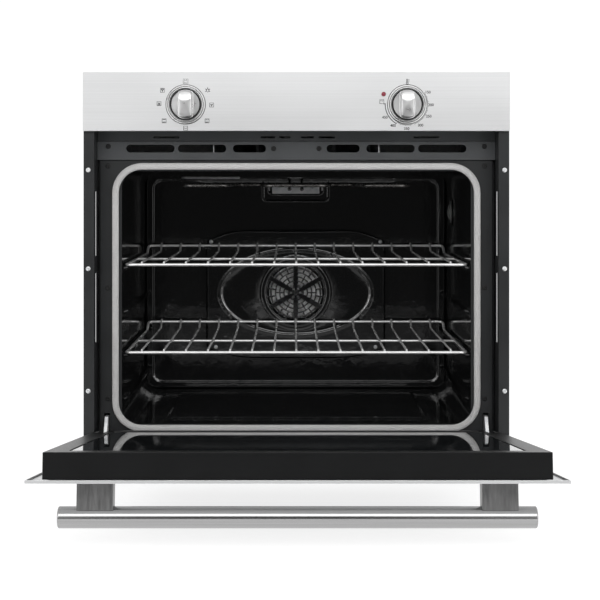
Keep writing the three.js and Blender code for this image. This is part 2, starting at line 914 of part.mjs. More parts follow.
// ---- Racks --------------------------------------------------------------------------------
// A wire rack: bent frame, fifteen runners welded on top, a cross wire and a raised rear.
function rack(level) {
  const z = RACK_LEVELS[level];
  const lift = z + 16;
  const half = (s) =>
    wire(
      bend(
        [
          [-0.5 * s, RACK_FRONT, z],
          [RACK_HALF * s, RACK_FRONT, z],
          [RACK_HALF * s, RACK_REAR - 22, z],
          [RACK_HALF * s, RACK_REAR, lift],
          [-0.5 * s, RACK_REAR, lift],
        ],
        10,
        2,
      ),
      2.8,
      6,
    );
  const runners = [];
  for (let i = -7; i <= 7; i++) {
    const x = i * 40.1;
    runners.push(
      wire(
        bend(
          [
            [x, RACK_FRONT - 1, z + 3.8],
            [x, RACK_REAR - 22, z + 3.8],
            [x, RACK_REAR, lift + 1.5],
          ],
          4,
          1,
        ),
        2.4,
        4,
      ),
    );
  }
  const cross = straight([-RACK_HALF, 245, z + 0.4], [RACK_HALF, 245, z + 0.4], 2.4);
  return join([half(1), half(-1), cross, ...runners]);
}

// ---- Door, drawn closed -------------------------------------------------------------------
// Folded stainless skin with the window opening.
function doorSkin() {
  const outer = block(both(HALF_WIDTH), [SKIN_FRONT, -2.4], [41, 607]);
  const inner = block(both(HALF_WIDTH - 1.5), [SKIN_FRONT + 1.4, -1], [42.5, 605.5]);
  const back = block(both(DOOR_HALF - 8), [-3.8, -2.4], [60, 596]);
  const webs = [-1, 1].map((s) =>
    block([s * 340 - 6, s * 340 + 6], [SKIN_FRONT + 1, -3], [120, 590]),
  );
  const window = plateY(roundRect(both(252), [150, 450], 14), SKIN_FRONT - 1, 0, 4);
  const notches = [-1, 1].map((s) =>
    block([s * HINGE_X - 8.5, s * HINGE_X + 8.5], [SKIN_FRONT + 1.4, 0], [40, 62]),
  );
  return cut(join([cut(outer, [inner]), back, ...webs]), [window, ...notches]);
}

// The deep door box: a pan with a border round the inner glass and a notch at each hinge.
function doorFrame() {
  const z = [DOOR_LOW, DOOR_HIGH];
  const outer = block(both(DOOR_HALF), [-2, DOOR_BACK], z);
  const hollow = block(
    both(DOOR_HALF - 2),
    [-3, DOOR_BACK - 2],
    [z[0] + 2, z[1] - 2],
  );
  const mouth = roundRect(
    both(DOOR_HALF - DOOR_BORDER),
    [z[0] + DOOR_BORDER, z[1] - DOOR_BORDER],
    4,
  );
  const opening = plateY(mouth, DOOR_BACK - 4, DOOR_BACK + 1, 3);
  const notches = [-1, 1].map((s) =>
    block([s * HINGE_X - 8, s * HINGE_X + 8], [-3, DOOR_BACK + 1], [40, 118]),
  );
  return cut(outer, [hollow, opening, ...notches]);
}

// A pane of door glass.
function pane(half, z, y) {
  return plateY(roundRect(both(half), z, 3), y, y + 4, 2);
}

// The steel channel in the door's notch that carries the pin.
function hingeChannel(side) {
  const x = side * HINGE_X;
  const outer = block([x - 7.6, x + 7.6], [-1.8, 30], [39.4, 117]);
  const ears = block([x - 7.6, x + 7.6], [-5.2, 6], [39.4, 58]);
  const inner = block([x - 5.6, x + 5.6], [-0.4, 31], [38, 118]);
  const pin = barX(PIN_R + 0.3, x - 9, x + 9, 0, PIVOT_Z, 24);
  const clear = block([x - 5.6, x + 5.6], [-7, 31], [38, 60]);
  return cut(join([outer, ears]), [inner, pin, clear]);
}

// The pivot pin, as long as the channel is wide.
function hingePin(side) {
  const x = side * HINGE_X;
  return barX(PIN_R, x - 7.6, x + 7.6, 0, PIVOT_Z, 24);
}

function handleBar() {
  const profile = [
    [0, -BAR.half],
    [BAR.r - 2, -BAR.half],
    [BAR.r, -BAR.half + 2],
    [BAR.r, BAR.half - 2],
    [BAR.r - 2, BAR.half],
    [0, BAR.half],
  ];
  return turnedX(profile, BAR.y, BAR.z, 32);
}

// A square post from the skin to the bar, hollowed to the bar's curve.
function handlePost(side) {
  const x = side * 288;
  const post = block(
    [x - 26, x + 26],
    [BAR.y + 4, SKIN_FRONT - GAP],
    [BAR.z - 12, BAR.z + 12],
  );
  return cut(post, [barX(BAR.r + GAP, x - 30, x + 30, BAR.y, BAR.z, 32)]);
}

// ---- Assembly -----------------------------------------------------------------------------
const oven = new THREE.Group();
oven.name = "wall_oven";
oven.position.y = -ORIGIN_Y;
const add = (name, material, made) => oven.add(piece(name, look[material], made));

add("control_panel", "steel", controlPanel());
add("function_bezel", "chrome", bezel(-KNOB_X));
add("temperature_bezel", "chrome", bezel(KNOB_X));
add("pilot_lens", "red", pilotLens());
add("function_switch", "plastic", rotaryControl(-KNOB_X, 24, 22, 34));
add("thermostat", "galvanised", rotaryControl(KNOB_X, 20, 26, 26));
add("function_knob", "chrome", knob(-KNOB_X));
add("temperature_knob", "chrome", knob(KNOB_X));

add("left_side_panel", "galvanised", sidePanel(-1));
add("right_side_panel", "galvanised", sidePanel(1));
add("top_cover", "galvanised", topCover());
add("rear_cover", "galvanised", rearCover());
add("base_pan", "galvanised", basePan());
add("left_flange", "grey", flange(-1));
add("right_flange", "grey", flange(1));
add("bottom_trim", "steel", bottomTrim());

add("front_frame", "grey", frontFrame());
add("vent_panel", "grey", ventPanel());
add("upper_vent_strip", "grey", upperVentStrip());

add("cavity_liner", "enamel", cavityLiner());
add("cavity_back", "enamel", cavityBack());
add("door_gasket", "gasket", doorGasket());
add("insulation_blanket", "wool", insulation());
add("fan_baffle", "enamel", fanBaffle());
add("fan_grille", "enamel", fanGrille());
add("convection_fan", "zinc", convectionFan());
add("convection_element", "element", convectionElement());
add("convection_motor", "galvanised", convectionMotor());
add("broil_bracket", "zinc", broilBracket());
add("broil_element", "element", broilElement());
add("bake_element", "element", bakeElement());
add("lamp_housing", "galvanised", lampHousing());
add("lamp_lens", "lens", lampLens());
add("lamp_bulb", "lens", lampBulb());
add("temperature_probe", "zinc", temperatureProbe());

add("air_duct", "galvanised", airDuct());
add("cooling_fan_housing", "galvanised", coolingFanHousing());
add("cooling_fan_wheel", "galvanised", coolingFanWheel());
add("cooling_fan_motor", "galvanised", coolingFanMotor());
add("terminal_block", "plastic", terminalBlock());
add("terminal_cover", "galvanised", terminalCover());

add("left_hinge_receiver", "galvanised", hingeReceiver(-1));
add("right_hinge_receiver", "galvanised", hingeReceiver(1));
add("left_hinge_arm", "zinc", hingeArm(-1));
add("right_hinge_arm", "zinc", hingeArm(1));

add("upper_rack", "chrome", rack(UPPER_LEVEL));
add("lower_rack", "chrome", rack(LOWER_LEVEL));

// The door turns about its pin line; it is stored open, resting on its stop.
const door = new THREE.Group();
door.name = "door";
door.position.set(0, 0, PIVOT_Z);
door.rotation.x = DOOR_OPEN;
const hang = (name, material, made) => {
  const mesh = piece(name, look[material], made);
  mesh.position.z = -PIVOT_Z;
  door.add(mesh);
};
hang("door_skin", "steel", doorSkin());
hang("door_frame", "grey", doorFrame());
hang("outer_glass", "glass", pane(270, [130, 470], -1.6));
hang("middle_glass", "glass", pane(300, [98, 548], 16));
hang("inner_glass", "glass", pane(321.9, [74.6, 570], DOOR_BACK - 5));
hang("left_hinge_channel", "zinc", hingeChannel(-1));
hang("right_hinge_channel", "zinc", hingeChannel(1));
hang("left_hinge_pin", "zinc", hingePin(-1));
hang("right_hinge_pin", "zinc", hingePin(1));
hang("handle_bar", "steel", handleBar());
hang("left_handle_post", "steel", handlePost(-1));
hang("right_handle_post", "steel", handlePost(1));
oven.add(door);

export default oven;
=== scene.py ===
# %% [markdown]
# # A built-in wall oven with its door open
#
# The mechanical model of the oven is loaded first and is never moved. This lesson gives every
# piece of it a finish, and remakes the pieces whose beauty is in their curves: racks, knobs,
# handle, gasket, the stamped walls of the cavity, the fan guard and the heating rods.
# Lengths in the shape functions are millimetres. Their y is counted back from the plane of the
# mounting flanges, as a maker measures an oven, and z is counted up from the base.

# %% Load the mechanical model
import json
import math

import bmesh
import bpy
import numpy as np
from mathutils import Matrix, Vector

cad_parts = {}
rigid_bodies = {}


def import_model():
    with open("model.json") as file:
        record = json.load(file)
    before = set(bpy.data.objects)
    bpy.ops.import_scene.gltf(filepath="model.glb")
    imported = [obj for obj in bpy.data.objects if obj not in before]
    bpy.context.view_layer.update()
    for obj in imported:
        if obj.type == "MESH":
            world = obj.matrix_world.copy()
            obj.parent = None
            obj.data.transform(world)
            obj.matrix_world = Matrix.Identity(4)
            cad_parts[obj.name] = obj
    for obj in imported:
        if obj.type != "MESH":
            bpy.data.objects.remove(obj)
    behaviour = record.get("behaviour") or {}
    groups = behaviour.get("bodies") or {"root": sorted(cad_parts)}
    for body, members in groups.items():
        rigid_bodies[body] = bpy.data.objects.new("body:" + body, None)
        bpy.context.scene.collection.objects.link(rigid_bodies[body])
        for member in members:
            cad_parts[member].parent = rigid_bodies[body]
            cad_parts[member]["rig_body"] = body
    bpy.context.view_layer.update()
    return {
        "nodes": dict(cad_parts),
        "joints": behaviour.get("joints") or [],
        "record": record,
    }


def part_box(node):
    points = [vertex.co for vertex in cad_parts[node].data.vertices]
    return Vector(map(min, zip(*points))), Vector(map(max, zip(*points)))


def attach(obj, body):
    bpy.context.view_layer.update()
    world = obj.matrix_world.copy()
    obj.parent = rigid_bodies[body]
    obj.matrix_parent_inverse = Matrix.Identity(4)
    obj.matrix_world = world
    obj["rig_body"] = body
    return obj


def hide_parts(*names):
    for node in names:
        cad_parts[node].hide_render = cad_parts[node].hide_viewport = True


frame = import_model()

MM = 0.001
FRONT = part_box("left_flange")[0].y  # plane of the mounting flanges, in metres
SLOT = {part["node"]: part["material_slot"] for part in frame["record"]["subparts"]}
JOINT = {joint["name"]: joint for joint in frame["joints"]}

# %% [markdown]
# ## The viewpoint
#
# The eye stands squarely in front of the oven, at the height of the cavity's upper part, and the
# lens is long, so upright edges stay upright. The picture is lowered with the lens shift rather
# than by tilting the camera, which is how a product photographer keeps an appliance square.

# %% Camera
EYE = (-8, -2528, 528.3)  # where the camera stands, millimetres
camera = bpy.data.objects.new("camera", bpy.data.cameras.new("camera"))
bpy.context.scene.collection.objects.link(camera)
camera.location = (EYE[0] * MM, FRONT + EYE[1] * MM, EYE[2] * MM)
camera.rotation_euler = (math.radians(90), 0, 0)
camera.data.lens = 85.44
camera.data.sensor_width = 36
camera.data.shift_x = 0.0135
camera.data.shift_y = -0.2033
camera.data.clip_end = 60
bpy.context.scene.camera = camera
print("camera at", tuple(round(c, 3) for c in camera.location))

# %% [markdown]
# ## The studio
#
# Steel and enamel show the room more than themselves, so the room is designed for them. A pale
# sweep is floor and back wall in one piece, without a corner that would draw a line. A large
# soft box hangs in front and above: it gives the handle its bright line. Two tall narrow strips
# put thin lines on wire and on curved enamel. The room is bright in a broad ring round the camera
# and dark just round it, so that flat enamel, which mirrors the camera, stays black, while round
# steel shows a dark band between two bright ones. What the camera itself sees past the paper is
# plain white.

# %% Pale sweep
SWEEP_FRONT, SWEEP_BACK, SWEEP_TOP, SWEEP_HALF = -1.5, 6.0, 7.0, 12.0  # metres
bend = np.linspace(0, math.pi / 2, 25)
sweep_y = np.concatenate([[SWEEP_FRONT, 0], SWEEP_BACK + 2 * np.sin(bend), [SWEEP_BACK + 2]])
sweep_z = np.concatenate([[0, 0], 2 - 2 * np.cos(bend), [SWEEP_TOP]])
across = np.linspace(-SWEEP_HALF, SWEEP_HALF, 3)


def sheet_faces(rows, cols):
    """The quads between the points of a grid, as rows of four numbers."""
    first = np.arange(rows - 1)[:, None] * cols + np.arange(cols - 1)
    return np.stack([first, first + 1, first + cols + 1, first + cols], -1).reshape(-1, 4)


sweep_points = np.stack(
    [
        np.tile(across, (len(sweep_y), 1)),
        np.tile(sweep_y[:, None], 3),
        np.tile(sweep_z[:, None], 3),
    ],
    -1,
).reshape(-1, 3)
sweep_mesh = bpy.data.meshes.new("studio_floor")
sweep_mesh.from_pydata(sweep_points.tolist(), [], sheet_faces(len(sweep_y), 3).tolist())
sweep_mesh.polygons.foreach_set("use_smooth", np.ones(len(sweep_mesh.polygons), bool))
studio_floor = bpy.data.objects.new("studio_floor", sweep_mesh)
bpy.context.scene.collection.objects.link(studio_floor)
print("sweep points:", len(sweep_points))

# %% The room's brightness
world = bpy.context.scene.world or bpy.data.worlds.new("studio")
bpy.context.scene.world = world
world.use_nodes = True
sky = world.node_tree
sky_colour = sky.nodes["Background"]
sky_colour.inputs["Strength"].default_value = 1.0
direction = sky.nodes.new("ShaderNodeTexCoord")
axes = sky.nodes.new("ShaderNodeSeparateXYZ")
tone = sky.nodes.new("ShaderNodeValToRGB")
# Brightness of the room at places on the way from its front, 0, to its back, 1.
ROOM = ((0.0, 0.04), (0.016, 0.04), (0.045, 0.8), (0.25, 0.7), (0.5, 0.5), (0.75, 1.0))
while len(tone.color_ramp.elements) < len(ROOM):
    tone.color_ramp.elements.new(0.5)
for stop, (place, bright) in zip(tone.color_ramp.elements, ROOM):
    stop.position = place
    stop.color = (bright, bright, bright, 1)
shift = sky.nodes.new("ShaderNodeMapRange")
shift.inputs["From Min"].default_value = -1
sky.links.new(direction.outputs["Generated"], axes.inputs[0])
sky.links.new(axes.outputs["Y"], shift.inputs["Value"])
sky.links.new(shift.outputs["Result"], tone.inputs["Fac"])
ray = sky.nodes.new("ShaderNodeLightPath")
seen = sky.nodes.new("ShaderNodeMixRGB")
seen.inputs["Color2"].default_value = (1, 1, 1, 1)
sky.links.new(ray.outputs["Is Camera Ray"], seen.inputs["Fac"])
sky.links.new(tone.outputs["Color"], seen.inputs["Color1"])
sky.links.new(seen.outputs["Color"], sky_colour.inputs["Color"])
print("room brightness:", ROOM)

# %% Soft boxes


def soft_box(name, place, target, size, power):
    """A rectangular lamp at a place, turned towards a target, both in metres."""
    lamp = bpy.data.objects.new(name, bpy.data.lights.new(name, "AREA"))
    bpy.context.scene.collection.objects.link(lamp)
    lamp.data.shape = "RECTANGLE"
    lamp.data.size, lamp.data.size_y = size
    lamp.data.energy = power
    lamp.location = place
    aim = Vector(target) - Vector(place)
    lamp.rotation_euler = aim.to_track_quat("-Z", "Y").to_euler()
    return lamp


soft_box("key", (0.1, FRONT - 2.6, 1.95), (0, FRONT, 0.3), (3.2, 1.6), 36)
for name, x in (("left_strip", -2.4), ("right_strip", 2.4)):
    soft_box(name, (x, FRONT - 3.0, 1.2), (0, FRONT, 0.4), (0.28, 2.2), 10)
bpy.context.scene.view_settings.view_transform = "Standard"

# %% [markdown]
# ## Tools for finishes
#
# Every finish is a Principled shader. What is the same all over is set on the shader itself, and
# what varies comes from noise on the object's own coordinates, stretched along one axis where the
# maker's tool left lines. A few small helpers keep each recipe short.

# %% Finish helpers


def finish(name, colour, settings):
    """A material whose shader has this colour and these constant settings."""
    made = bpy.data.materials.new(name)
    made.use_nodes = True
    shader = made.node_tree.nodes["Principled BSDF"]
    shader.inputs["Base Color"].default_value = (*colour, 1)
    for socket, value in settings.items():
        shader.inputs[socket].default_value = value
    return made


def texture(made, kind, stretch=(1, 1, 1), source="Object", turn=(0, 0, 0), output=0, **values):
    """An output of a texture node that reads stretched coordinates."""
    nodes, links = made.node_tree.nodes, made.node_tree.links
    place, mapping = nodes.new("ShaderNodeTexCoord"), nodes.new("ShaderNodeMapping")
    mapping.inputs["Scale"].default_value = stretch
    mapping.inputs["Rotation"].default_value = turn
    pattern = nodes.new("ShaderNodeTex" + kind)
    for key, value in values.items():
        pattern.inputs[key].default_value = value
    links.new(place.outputs[source], mapping.inputs["Vector"])
    links.new(mapping.outputs["Vector"], pattern.inputs["Vector"])
    return pattern.outputs[output]


def noise(made, scale, detail=2, stretch=(1, 1, 1), **values):
    """Cloudy noise: the larger the scale, the finer the clouds."""
    return texture(made, "Noise", stretch, Scale=scale, Detail=detail, **values)


def cells(made, scale, **values):
    """Distance from the middles of random cells."""
    return texture(made, "Voronoi", Scale=scale, **values)


print("texture helpers ready")

# %% Colour, roughness and relief


def tint(made, factor, *stops):
    """Colours the surface by a factor: each stop is a position and a colour."""
    nodes, links = made.node_tree.nodes, made.node_tree.links
    ramp = nodes.new("ShaderNodeValToRGB")
    while len(ramp.color_ramp.elements) < len(stops):
        ramp.color_ramp.elements.new(0.5)
    for element, (position, colour) in zip(ramp.color_ramp.elements, stops):
        element.position = position
        element.color = (*colour, 1)
    links.new(factor, ramp.inputs["Fac"])
    links.new(ramp.outputs["Color"], nodes["Principled BSDF"].inputs["Base Color"])


def rough(made, factor, low, high, span=(0.3, 0.7)):
    """Varies the roughness between low and high by a factor."""
    nodes, links = made.node_tree.nodes, made.node_tree.links
    scale = nodes.new("ShaderNodeMapRange")
    scale.inputs["From Min"].default_value, scale.inputs["From Max"].default_value = span
    scale.inputs["To Min"].default_value, scale.inputs["To Max"].default_value = low, high
    links.new(factor, scale.inputs["Value"])
    links.new(scale.outputs["Result"], nodes["Principled BSDF"].inputs["Roughness"])


def relief(made, *layers):
    """Bumps, one on another: each layer is a factor and its depth in metres."""
    nodes, links = made.node_tree.nodes, made.node_tree.links
    below = None
    for factor, depth in layers:
        bump = nodes.new("ShaderNodeBump")
        bump.inputs["Distance"].default_value = depth
        links.new(factor, bump.inputs["Height"])
        if below:
            links.new(below, bump.inputs["Normal"])
        below = bump.outputs["Normal"]
    links.new(below, nodes["Principled BSDF"].inputs["Normal"])


def grey(value, warm=0.0):
    """A grey, a little warmer or cooler."""
    return (value * (1 + warm), value, value * (1 - warm))


print("finish helpers ready")

# %% [markdown]
# ## Steel, brushed, turned and rolled
#
# The control panel and the door skin are stainless sheet, brushed from side to side with a belt:
# thousands of scratches, long in x and hair-fine across. Stretching noise a few hundred times in
# one axis gives exactly that. The handle is drawn tube with a softer, longer grain, on two posts
# of cast steel, ground lengthwise, whose colour is made darker than the bar's as painted shade.
# The knobs are cast and satin finished, so their grain is fine and has no direction.

# %% Stainless finishes
stainless = finish("brushed_stainless", grey(0.72), {"Metallic": 1.0, "Roughness": 0.34})
belt = noise(stainless, 1.0, 5, (2.2, 700, 700), Roughness=0.6)
cloud = noise(stainless, 2.0, 2, (1.5, 3, 3))
tint(stainless, belt, (0.3, grey(0.72, -0.005)), (0.7, grey(0.77, -0.005)))
rough(stainless, cloud, 0.4, 0.46)
relief(stainless, (belt, 0.000001))

handle_steel = finish("brushed_tube", grey(0.66, 0.01), {"Metallic": 1.0, "Roughness": 0.3})
drawn = noise(handle_steel, 1.0, 4, (4, 500, 500), Roughness=0.55)
tint(handle_steel, drawn, (0.3, grey(0.37)), (0.7, grey(0.42)))
rough(handle_steel, drawn, 0.16, 0.22)
relief(handle_steel, (drawn, 0.000004))

# The posts' steel is a darker copy: its dark colour is painted shade for their dim faces.
shaded_post_steel = finish("ground_steel_painted_shade", grey(0.24), {"Metallic": 1.0, "Roughness": 0.36})
ground = noise(shaded_post_steel, 1.0, 4, (300, 300, 6), Roughness=0.55)
tint(shaded_post_steel, ground, (0.3, grey(0.2)), (0.7, grey(0.26)))
rough(shaded_post_steel, ground, 0.32, 0.4)
relief(shaded_post_steel, (ground, 0.000003))

knob_steel = finish("satin_cast_steel", grey(0.78), {"Metallic": 1.0, "Roughness": 0.28})
grain = noise(knob_steel, 900.0, 3)
wear = noise(knob_steel, 60.0, 4)
tint(knob_steel, wear, (0.3, grey(0.76)), (0.7, grey(0.82)))
rough(knob_steel, wear, 0.26, 0.36)
relief(knob_steel, (grain, 0.000003))
print("steel finishes:", stainless.name, handle_steel.name, shaded_post_steel.name, knob_steel.name)

# %% [markdown]
# ## Chrome wire and zinc plate
#
# Oven racks are steel wire with a hard chrome skin. It is nearly a mirror, with faint lengthwise
# drawing marks and a slight haze where fat has burnt on. Small brackets, hinge arms and screws are
# zinc plated: duller, a little blue, and cloudy.

# %% Plated finishes
chrome = finish("chromed_wire", grey(0.9), {"Metallic": 0.6, "Roughness": 0.16})
haze = noise(chrome, 35.0, 5)
tint(chrome, haze, (0.35, grey(0.86, 0.01)), (0.6, grey(0.95)))
rough(chrome, haze, 0.12, 0.24)
relief(chrome, (noise(chrome, 400.0, 2), 0.00003))

zinc = finish("zinc_plate", grey(0.75, -0.01), {"Metallic": 0.6, "Roughness": 0.36})
passivated = noise(zinc, 90.0, 5, Distortion=0.6)
tint(zinc, passivated, (0.3, grey(0.68, -0.02)), (0.55, grey(0.8, -0.01)), (0.75, grey(0.86, 0.02)))
rough(zinc, passivated, 0.26, 0.46)
relief(zinc, (passivated, 0.00004))
print("plated finishes:", chrome.name, zinc.name)

# %% [markdown]
# ## Powder coat, galvanised sheet and enamel
#
# The recessed frame and flanges are powder coated dark grey, the vent panel a lighter grey and the
# door box black. Powder melts into a skin with a fine orange peel, which is a bump about a
# millimetre wide. The hidden casing is galvanised: zinc freezes into flat crystals, the spangle, and
# each crystal mirrors in its own tone. A Voronoi texture has one random value for each cell, so it
# draws the crystals. The cavity is enamelled: black glass fired on steel, very glossy, faintly wavy,
# with tiny lighter specks.

# %% Powder coats


def powder_coat(name, dark, light, shine, rough_low, rough_high):
    """Baked powder paint: a cloudy film between two greys, under a fine orange peel."""
    coat = finish(name, grey(light, -0.05), {"Roughness": rough_high, "Specular IOR Level": shine})
    film = noise(coat, 14.0, 3)
    peel = noise(coat, 650.0, 2)
    tint(coat, film, (0.3, grey(dark, -0.05)), (0.7, grey(light, -0.05)))
    rough(coat, peel, rough_low, rough_high)
    relief(coat, (peel, 0.00008))
    return coat


powder = powder_coat("grey_powder_coat", 0.017, 0.024, 0.35, 0.32, 0.46)
vent_paint = powder_coat("vent_powder_coat", 0.055, 0.07, 0.4, 0.3, 0.42)
door_black = powder_coat("door_powder_coat", 0.004, 0.006, 0.25, 0.3, 0.4)
print("powder coats:", powder.name, vent_paint.name, door_black.name)

# %% Zinc crystals and enamel
spangled = finish("galvanised_spangle", grey(0.5), {"Metallic": 1.0, "Roughness": 0.4})
crystals = spangled.node_tree.nodes.new("ShaderNodeSeparateColor")
spangled.node_tree.links.new(cells(spangled, 150.0, output="Color"), crystals.inputs[0])
crystal = crystals.outputs[0]
tint(spangled, crystal, (0.0, grey(0.47, -0.01)), (0.5, grey(0.52)), (1.0, grey(0.58, -0.02)))
rough(spangled, crystal, 0.34, 0.5, (0, 1))
relief(spangled, (noise(spangled, 180.0, 4), 0.00004))

enamel = finish("black_enamel", grey(0.005), {"Roughness": 0.08, "Specular IOR Level": 1.0})
specks = cells(enamel, 420.0)
tint(enamel, specks, (0.0, grey(0.05, -0.05)), (0.16, grey(0.007, -0.05)), (1.0, grey(0.005, -0.05)))
rough(enamel, noise(enamel, 18.0, 3), 0.05, 0.11)
flow = noise(enamel, 38.0, 3)
pinholes = noise(enamel, 520.0, 2)
relief(enamel, (flow, 0.00045), (pinholes, 0.00001))
print("skins:", spangled.name, enamel.name)

# %% [markdown]
# ## Braid, wool, oxide, plastics and glass
#
# The door gasket is a tube braided from glass fibre. Its strands cross at an angle, which two
# waves along the piece's own unwrapped coordinates draw. The heating rods were bright once and
# are now brown-grey oxide. Moulded plastic has a leathery micro grain. The door panes are thick
# dark glass, and the pilot lens is clear red plastic with a moulded sparkle. The fan behind the
# guard is stamped aluminium; its near-white, barely metallic colour is partly its pale metal and
# partly painted highlight, so that it shows pale through the slots.

# %% Braid, wool and oxide
braid = finish("braided_glass_fibre", grey(0.5), {"Roughness": 0.62, "Sheen Weight": 0.25})
strands = []
for lean in (0.9, -0.9):
    strands.append(texture(braid, "Wave", source="UV", turn=(0, 0, lean), Scale=5.0))
fuzz = noise(braid, 900.0, 4)
tint(braid, fuzz, (0.3, grey(0.74, 0.01)), (0.7, grey(0.9, 0.01)))
relief(braid, (strands[0], 0.00025), (strands[1], 0.00025), (fuzz, 0.0001))

wool = finish("mineral_wool", (0.62, 0.56, 0.38), {"Roughness": 0.95, "Sheen Weight": 0.3})
fibre = noise(wool, 140.0, 8, (1, 6, 1), Roughness=0.75, Distortion=1.2)
tint(wool, fibre, (0.3, (0.48, 0.42, 0.26)), (0.7, (0.78, 0.73, 0.55)))
relief(wool, (fibre, 0.002))

oxide = finish("oxidised_rod", (0.12, 0.11, 0.11), {"Metallic": 0.85, "Roughness": 0.3})
scale_marks = noise(oxide, 110.0, 6)
tint(oxide, scale_marks, (0.3, grey(0.12, 0.03)), (0.55, grey(0.19, 0.04)), (0.75, grey(0.27)))
rough(oxide, scale_marks, 0.2, 0.36)
relief(oxide, (scale_marks, 0.00008))
print("rough finishes:", braid.name, wool.name, oxide.name)

# %% Plastic and glass
plastic = finish("moulded_black", grey(0.012), {"Roughness": 0.5, "Specular IOR Level": 0.3})
leather = cells(plastic, 1300.0)
tint(plastic, leather, (0.0, grey(0.009)), (1.0, grey(0.018)))
rough(plastic, leather, 0.42, 0.6, (0, 1))
relief(plastic, (leather, 0.00006))

dark_glass = finish(
    "dark_glass",
    grey(0.02, -0.1),
    {"Roughness": 0.02, "IOR": 1.5, "Specular IOR Level": 0.2, "Transmission Weight": 0.35},
)
depth = noise(dark_glass, 5.0, 1)
tint(dark_glass, depth, (0.3, grey(0.014, -0.1)), (0.7, grey(0.026, -0.1)))
rough(dark_glass, noise(dark_glass, 30.0, 5), 0.01, 0.04)

lens_glass = finish(
    "heatproof_glass",
    (0.93, 0.94, 0.92),
    {"Roughness": 0.05, "IOR": 1.47, "Transmission Weight": 0.85},
)
moulding = noise(lens_glass, 120.0, 2)
tint(lens_glass, moulding, (0.3, (0.88, 0.9, 0.88)), (0.7, (0.98, 0.98, 0.96)))
relief(lens_glass, (moulding, 0.0003))

red_lens = finish(
    "red_lens", (0.45, 0.01, 0.03), {"Roughness": 0.18, "Coat Weight": 0.5, "Subsurface Weight": 0.2}
)
facets = cells(red_lens, 900.0)
tint(red_lens, facets, (0.0, (0.4, 0.012, 0.045)), (1.0, (0.1, 0.0, 0.008)))
relief(red_lens, (facets, 0.0004))
print("clear finishes:", dark_glass.name, lens_glass.name, red_lens.name)

# %% Aluminium, ink and paper
# The fan's near-white, barely metallic colour is pale metal plus painted highlight.
fan_metal_painted_highlight = finish("aluminium_painted_highlight", grey(0.98), {"Metallic": 0.1, "Roughness": 0.35})
skin = noise(fan_metal_painted_highlight, 120.0, 4)
tint(fan_metal_painted_highlight, skin, (0.3, grey(0.95)), (0.7, grey(1.0)))
rough(fan_metal_painted_highlight, skin, 0.42, 0.58)
relief(fan_metal_painted_highlight, (skin, 0.00008))

ink = finish("printed_ink", grey(0.012), {"Roughness": 0.6, "Specular IOR Level": 0.2})
dots = noise(ink, 1800.0, 2)
tint(ink, dots, (0.3, grey(0.008)), (0.7, grey(0.02)))
relief(ink, (dots, 0.00002))

paper = finish("studio_paper", grey(0.3), {"Roughness": 0.9, "Emission Strength": 0.8})
paper.node_tree.nodes["Principled BSDF"].inputs["Emission Color"].default_value = (1, 1, 1, 1)
tint(paper, noise(paper, 3.0), (0.3, grey(0.29)), (0.7, grey(0.31)))
sweep_mesh.materials.append(paper)
print("materials:", len(bpy.data.materials))

# %% [markdown]
# ## Tools for shapes
#
# A surface here is an array of points on a grid, worked out by a formula for all of them at once.
# `build` puts such arrays into a mesh, welds the seam where a grid meets itself, turns the faces
# outwards and lets the piece ride on its body. The door is drawn closed, as it is made, and
# `swing` opens it about its hinge pins by the angle that the hinge joint states.

# %% Placing and building
PIVOT_Z = 44.0
OPEN = math.radians(-JOINT["door_hinge"]["range_deg"][0])
WELD = 2e-6


def swing(points):
    """Turns closed-door points about the pin line: y cos - z sin, and y sin + z cos from the pin."""
    x, y, z = points.T
    z = z - PIVOT_Z
    lower = y * math.cos(OPEN) - z * math.sin(OPEN)
    upper = y * math.sin(OPEN) + z * math.cos(OPEN) + PIVOT_Z
    return np.stack([x, lower, upper], 1)


def gather(parts):
    """Several surfaces as one array of points and one of faces."""
    counts = [len(points) for points, _ in parts]
    starts = np.cumsum([0] + counts[:-1])
    faces = [corners + start for (_, corners), start in zip(parts, starts)]
    return np.concatenate([points for points, _ in parts]), np.concatenate(faces)


def build(name, surface, body, made, replaces=(), toward=None, sharp=38, unwrap=None):
    """A welded mesh from points and faces, riding on a body.
    A closed surface gets its faces turned outwards; an open one is turned towards a point."""
    points, faces = surface
    if body == "door":
        points = swing(points)
    mesh = bpy.data.meshes.new(name)
    mesh.from_pydata((points * MM + (0, FRONT, 0)).tolist(), [], faces.tolist())
    if unwrap is not None:
        layer = mesh.uv_layers.new(name="UVMap")
        layer.data.foreach_set("uv", unwrap[faces.ravel()].ravel())
    shape = bmesh.new()
    shape.from_mesh(mesh)
    bmesh.ops.remove_doubles(shape, verts=shape.verts, dist=WELD)
    bmesh.ops.dissolve_degenerate(shape, edges=shape.edges, dist=WELD)
    if toward is None:
        bmesh.ops.recalc_face_normals(shape, faces=shape.faces)
    else:
        eye = Vector(toward) * MM + Vector((0, FRONT, 0))
        if sum(face.normal.dot(eye - face.calc_center_median()) for face in shape.faces) < 0:
            bmesh.ops.reverse_faces(shape, faces=shape.faces)
    shape.to_mesh(mesh)
    shape.free()
    mesh.polygons.foreach_set("use_smooth", np.ones(len(mesh.polygons), bool))
    mesh.set_sharp_from_angle(angle=math.radians(sharp))
    mesh.materials.append(made)
    piece = bpy.data.objects.new(name, mesh)
    bpy.context.scene.collection.objects.link(piece)
    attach(piece, body)
    if replaces:
        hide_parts(*replaces)
    print(f"{name}: {len(mesh.vertices)} points")
    return piece


print("door opens by", round(math.degrees(OPEN)), "degrees")

# %% Sheets, tubes and turned shapes


def thicken(piece, depth):
    """Gives an open sheet its thickness on the side away from its faces."""
    wall = piece.modifiers.new("thickness", "SOLIDIFY")
    wall.thickness = depth * MM
    wall.offset = -1
    return piece


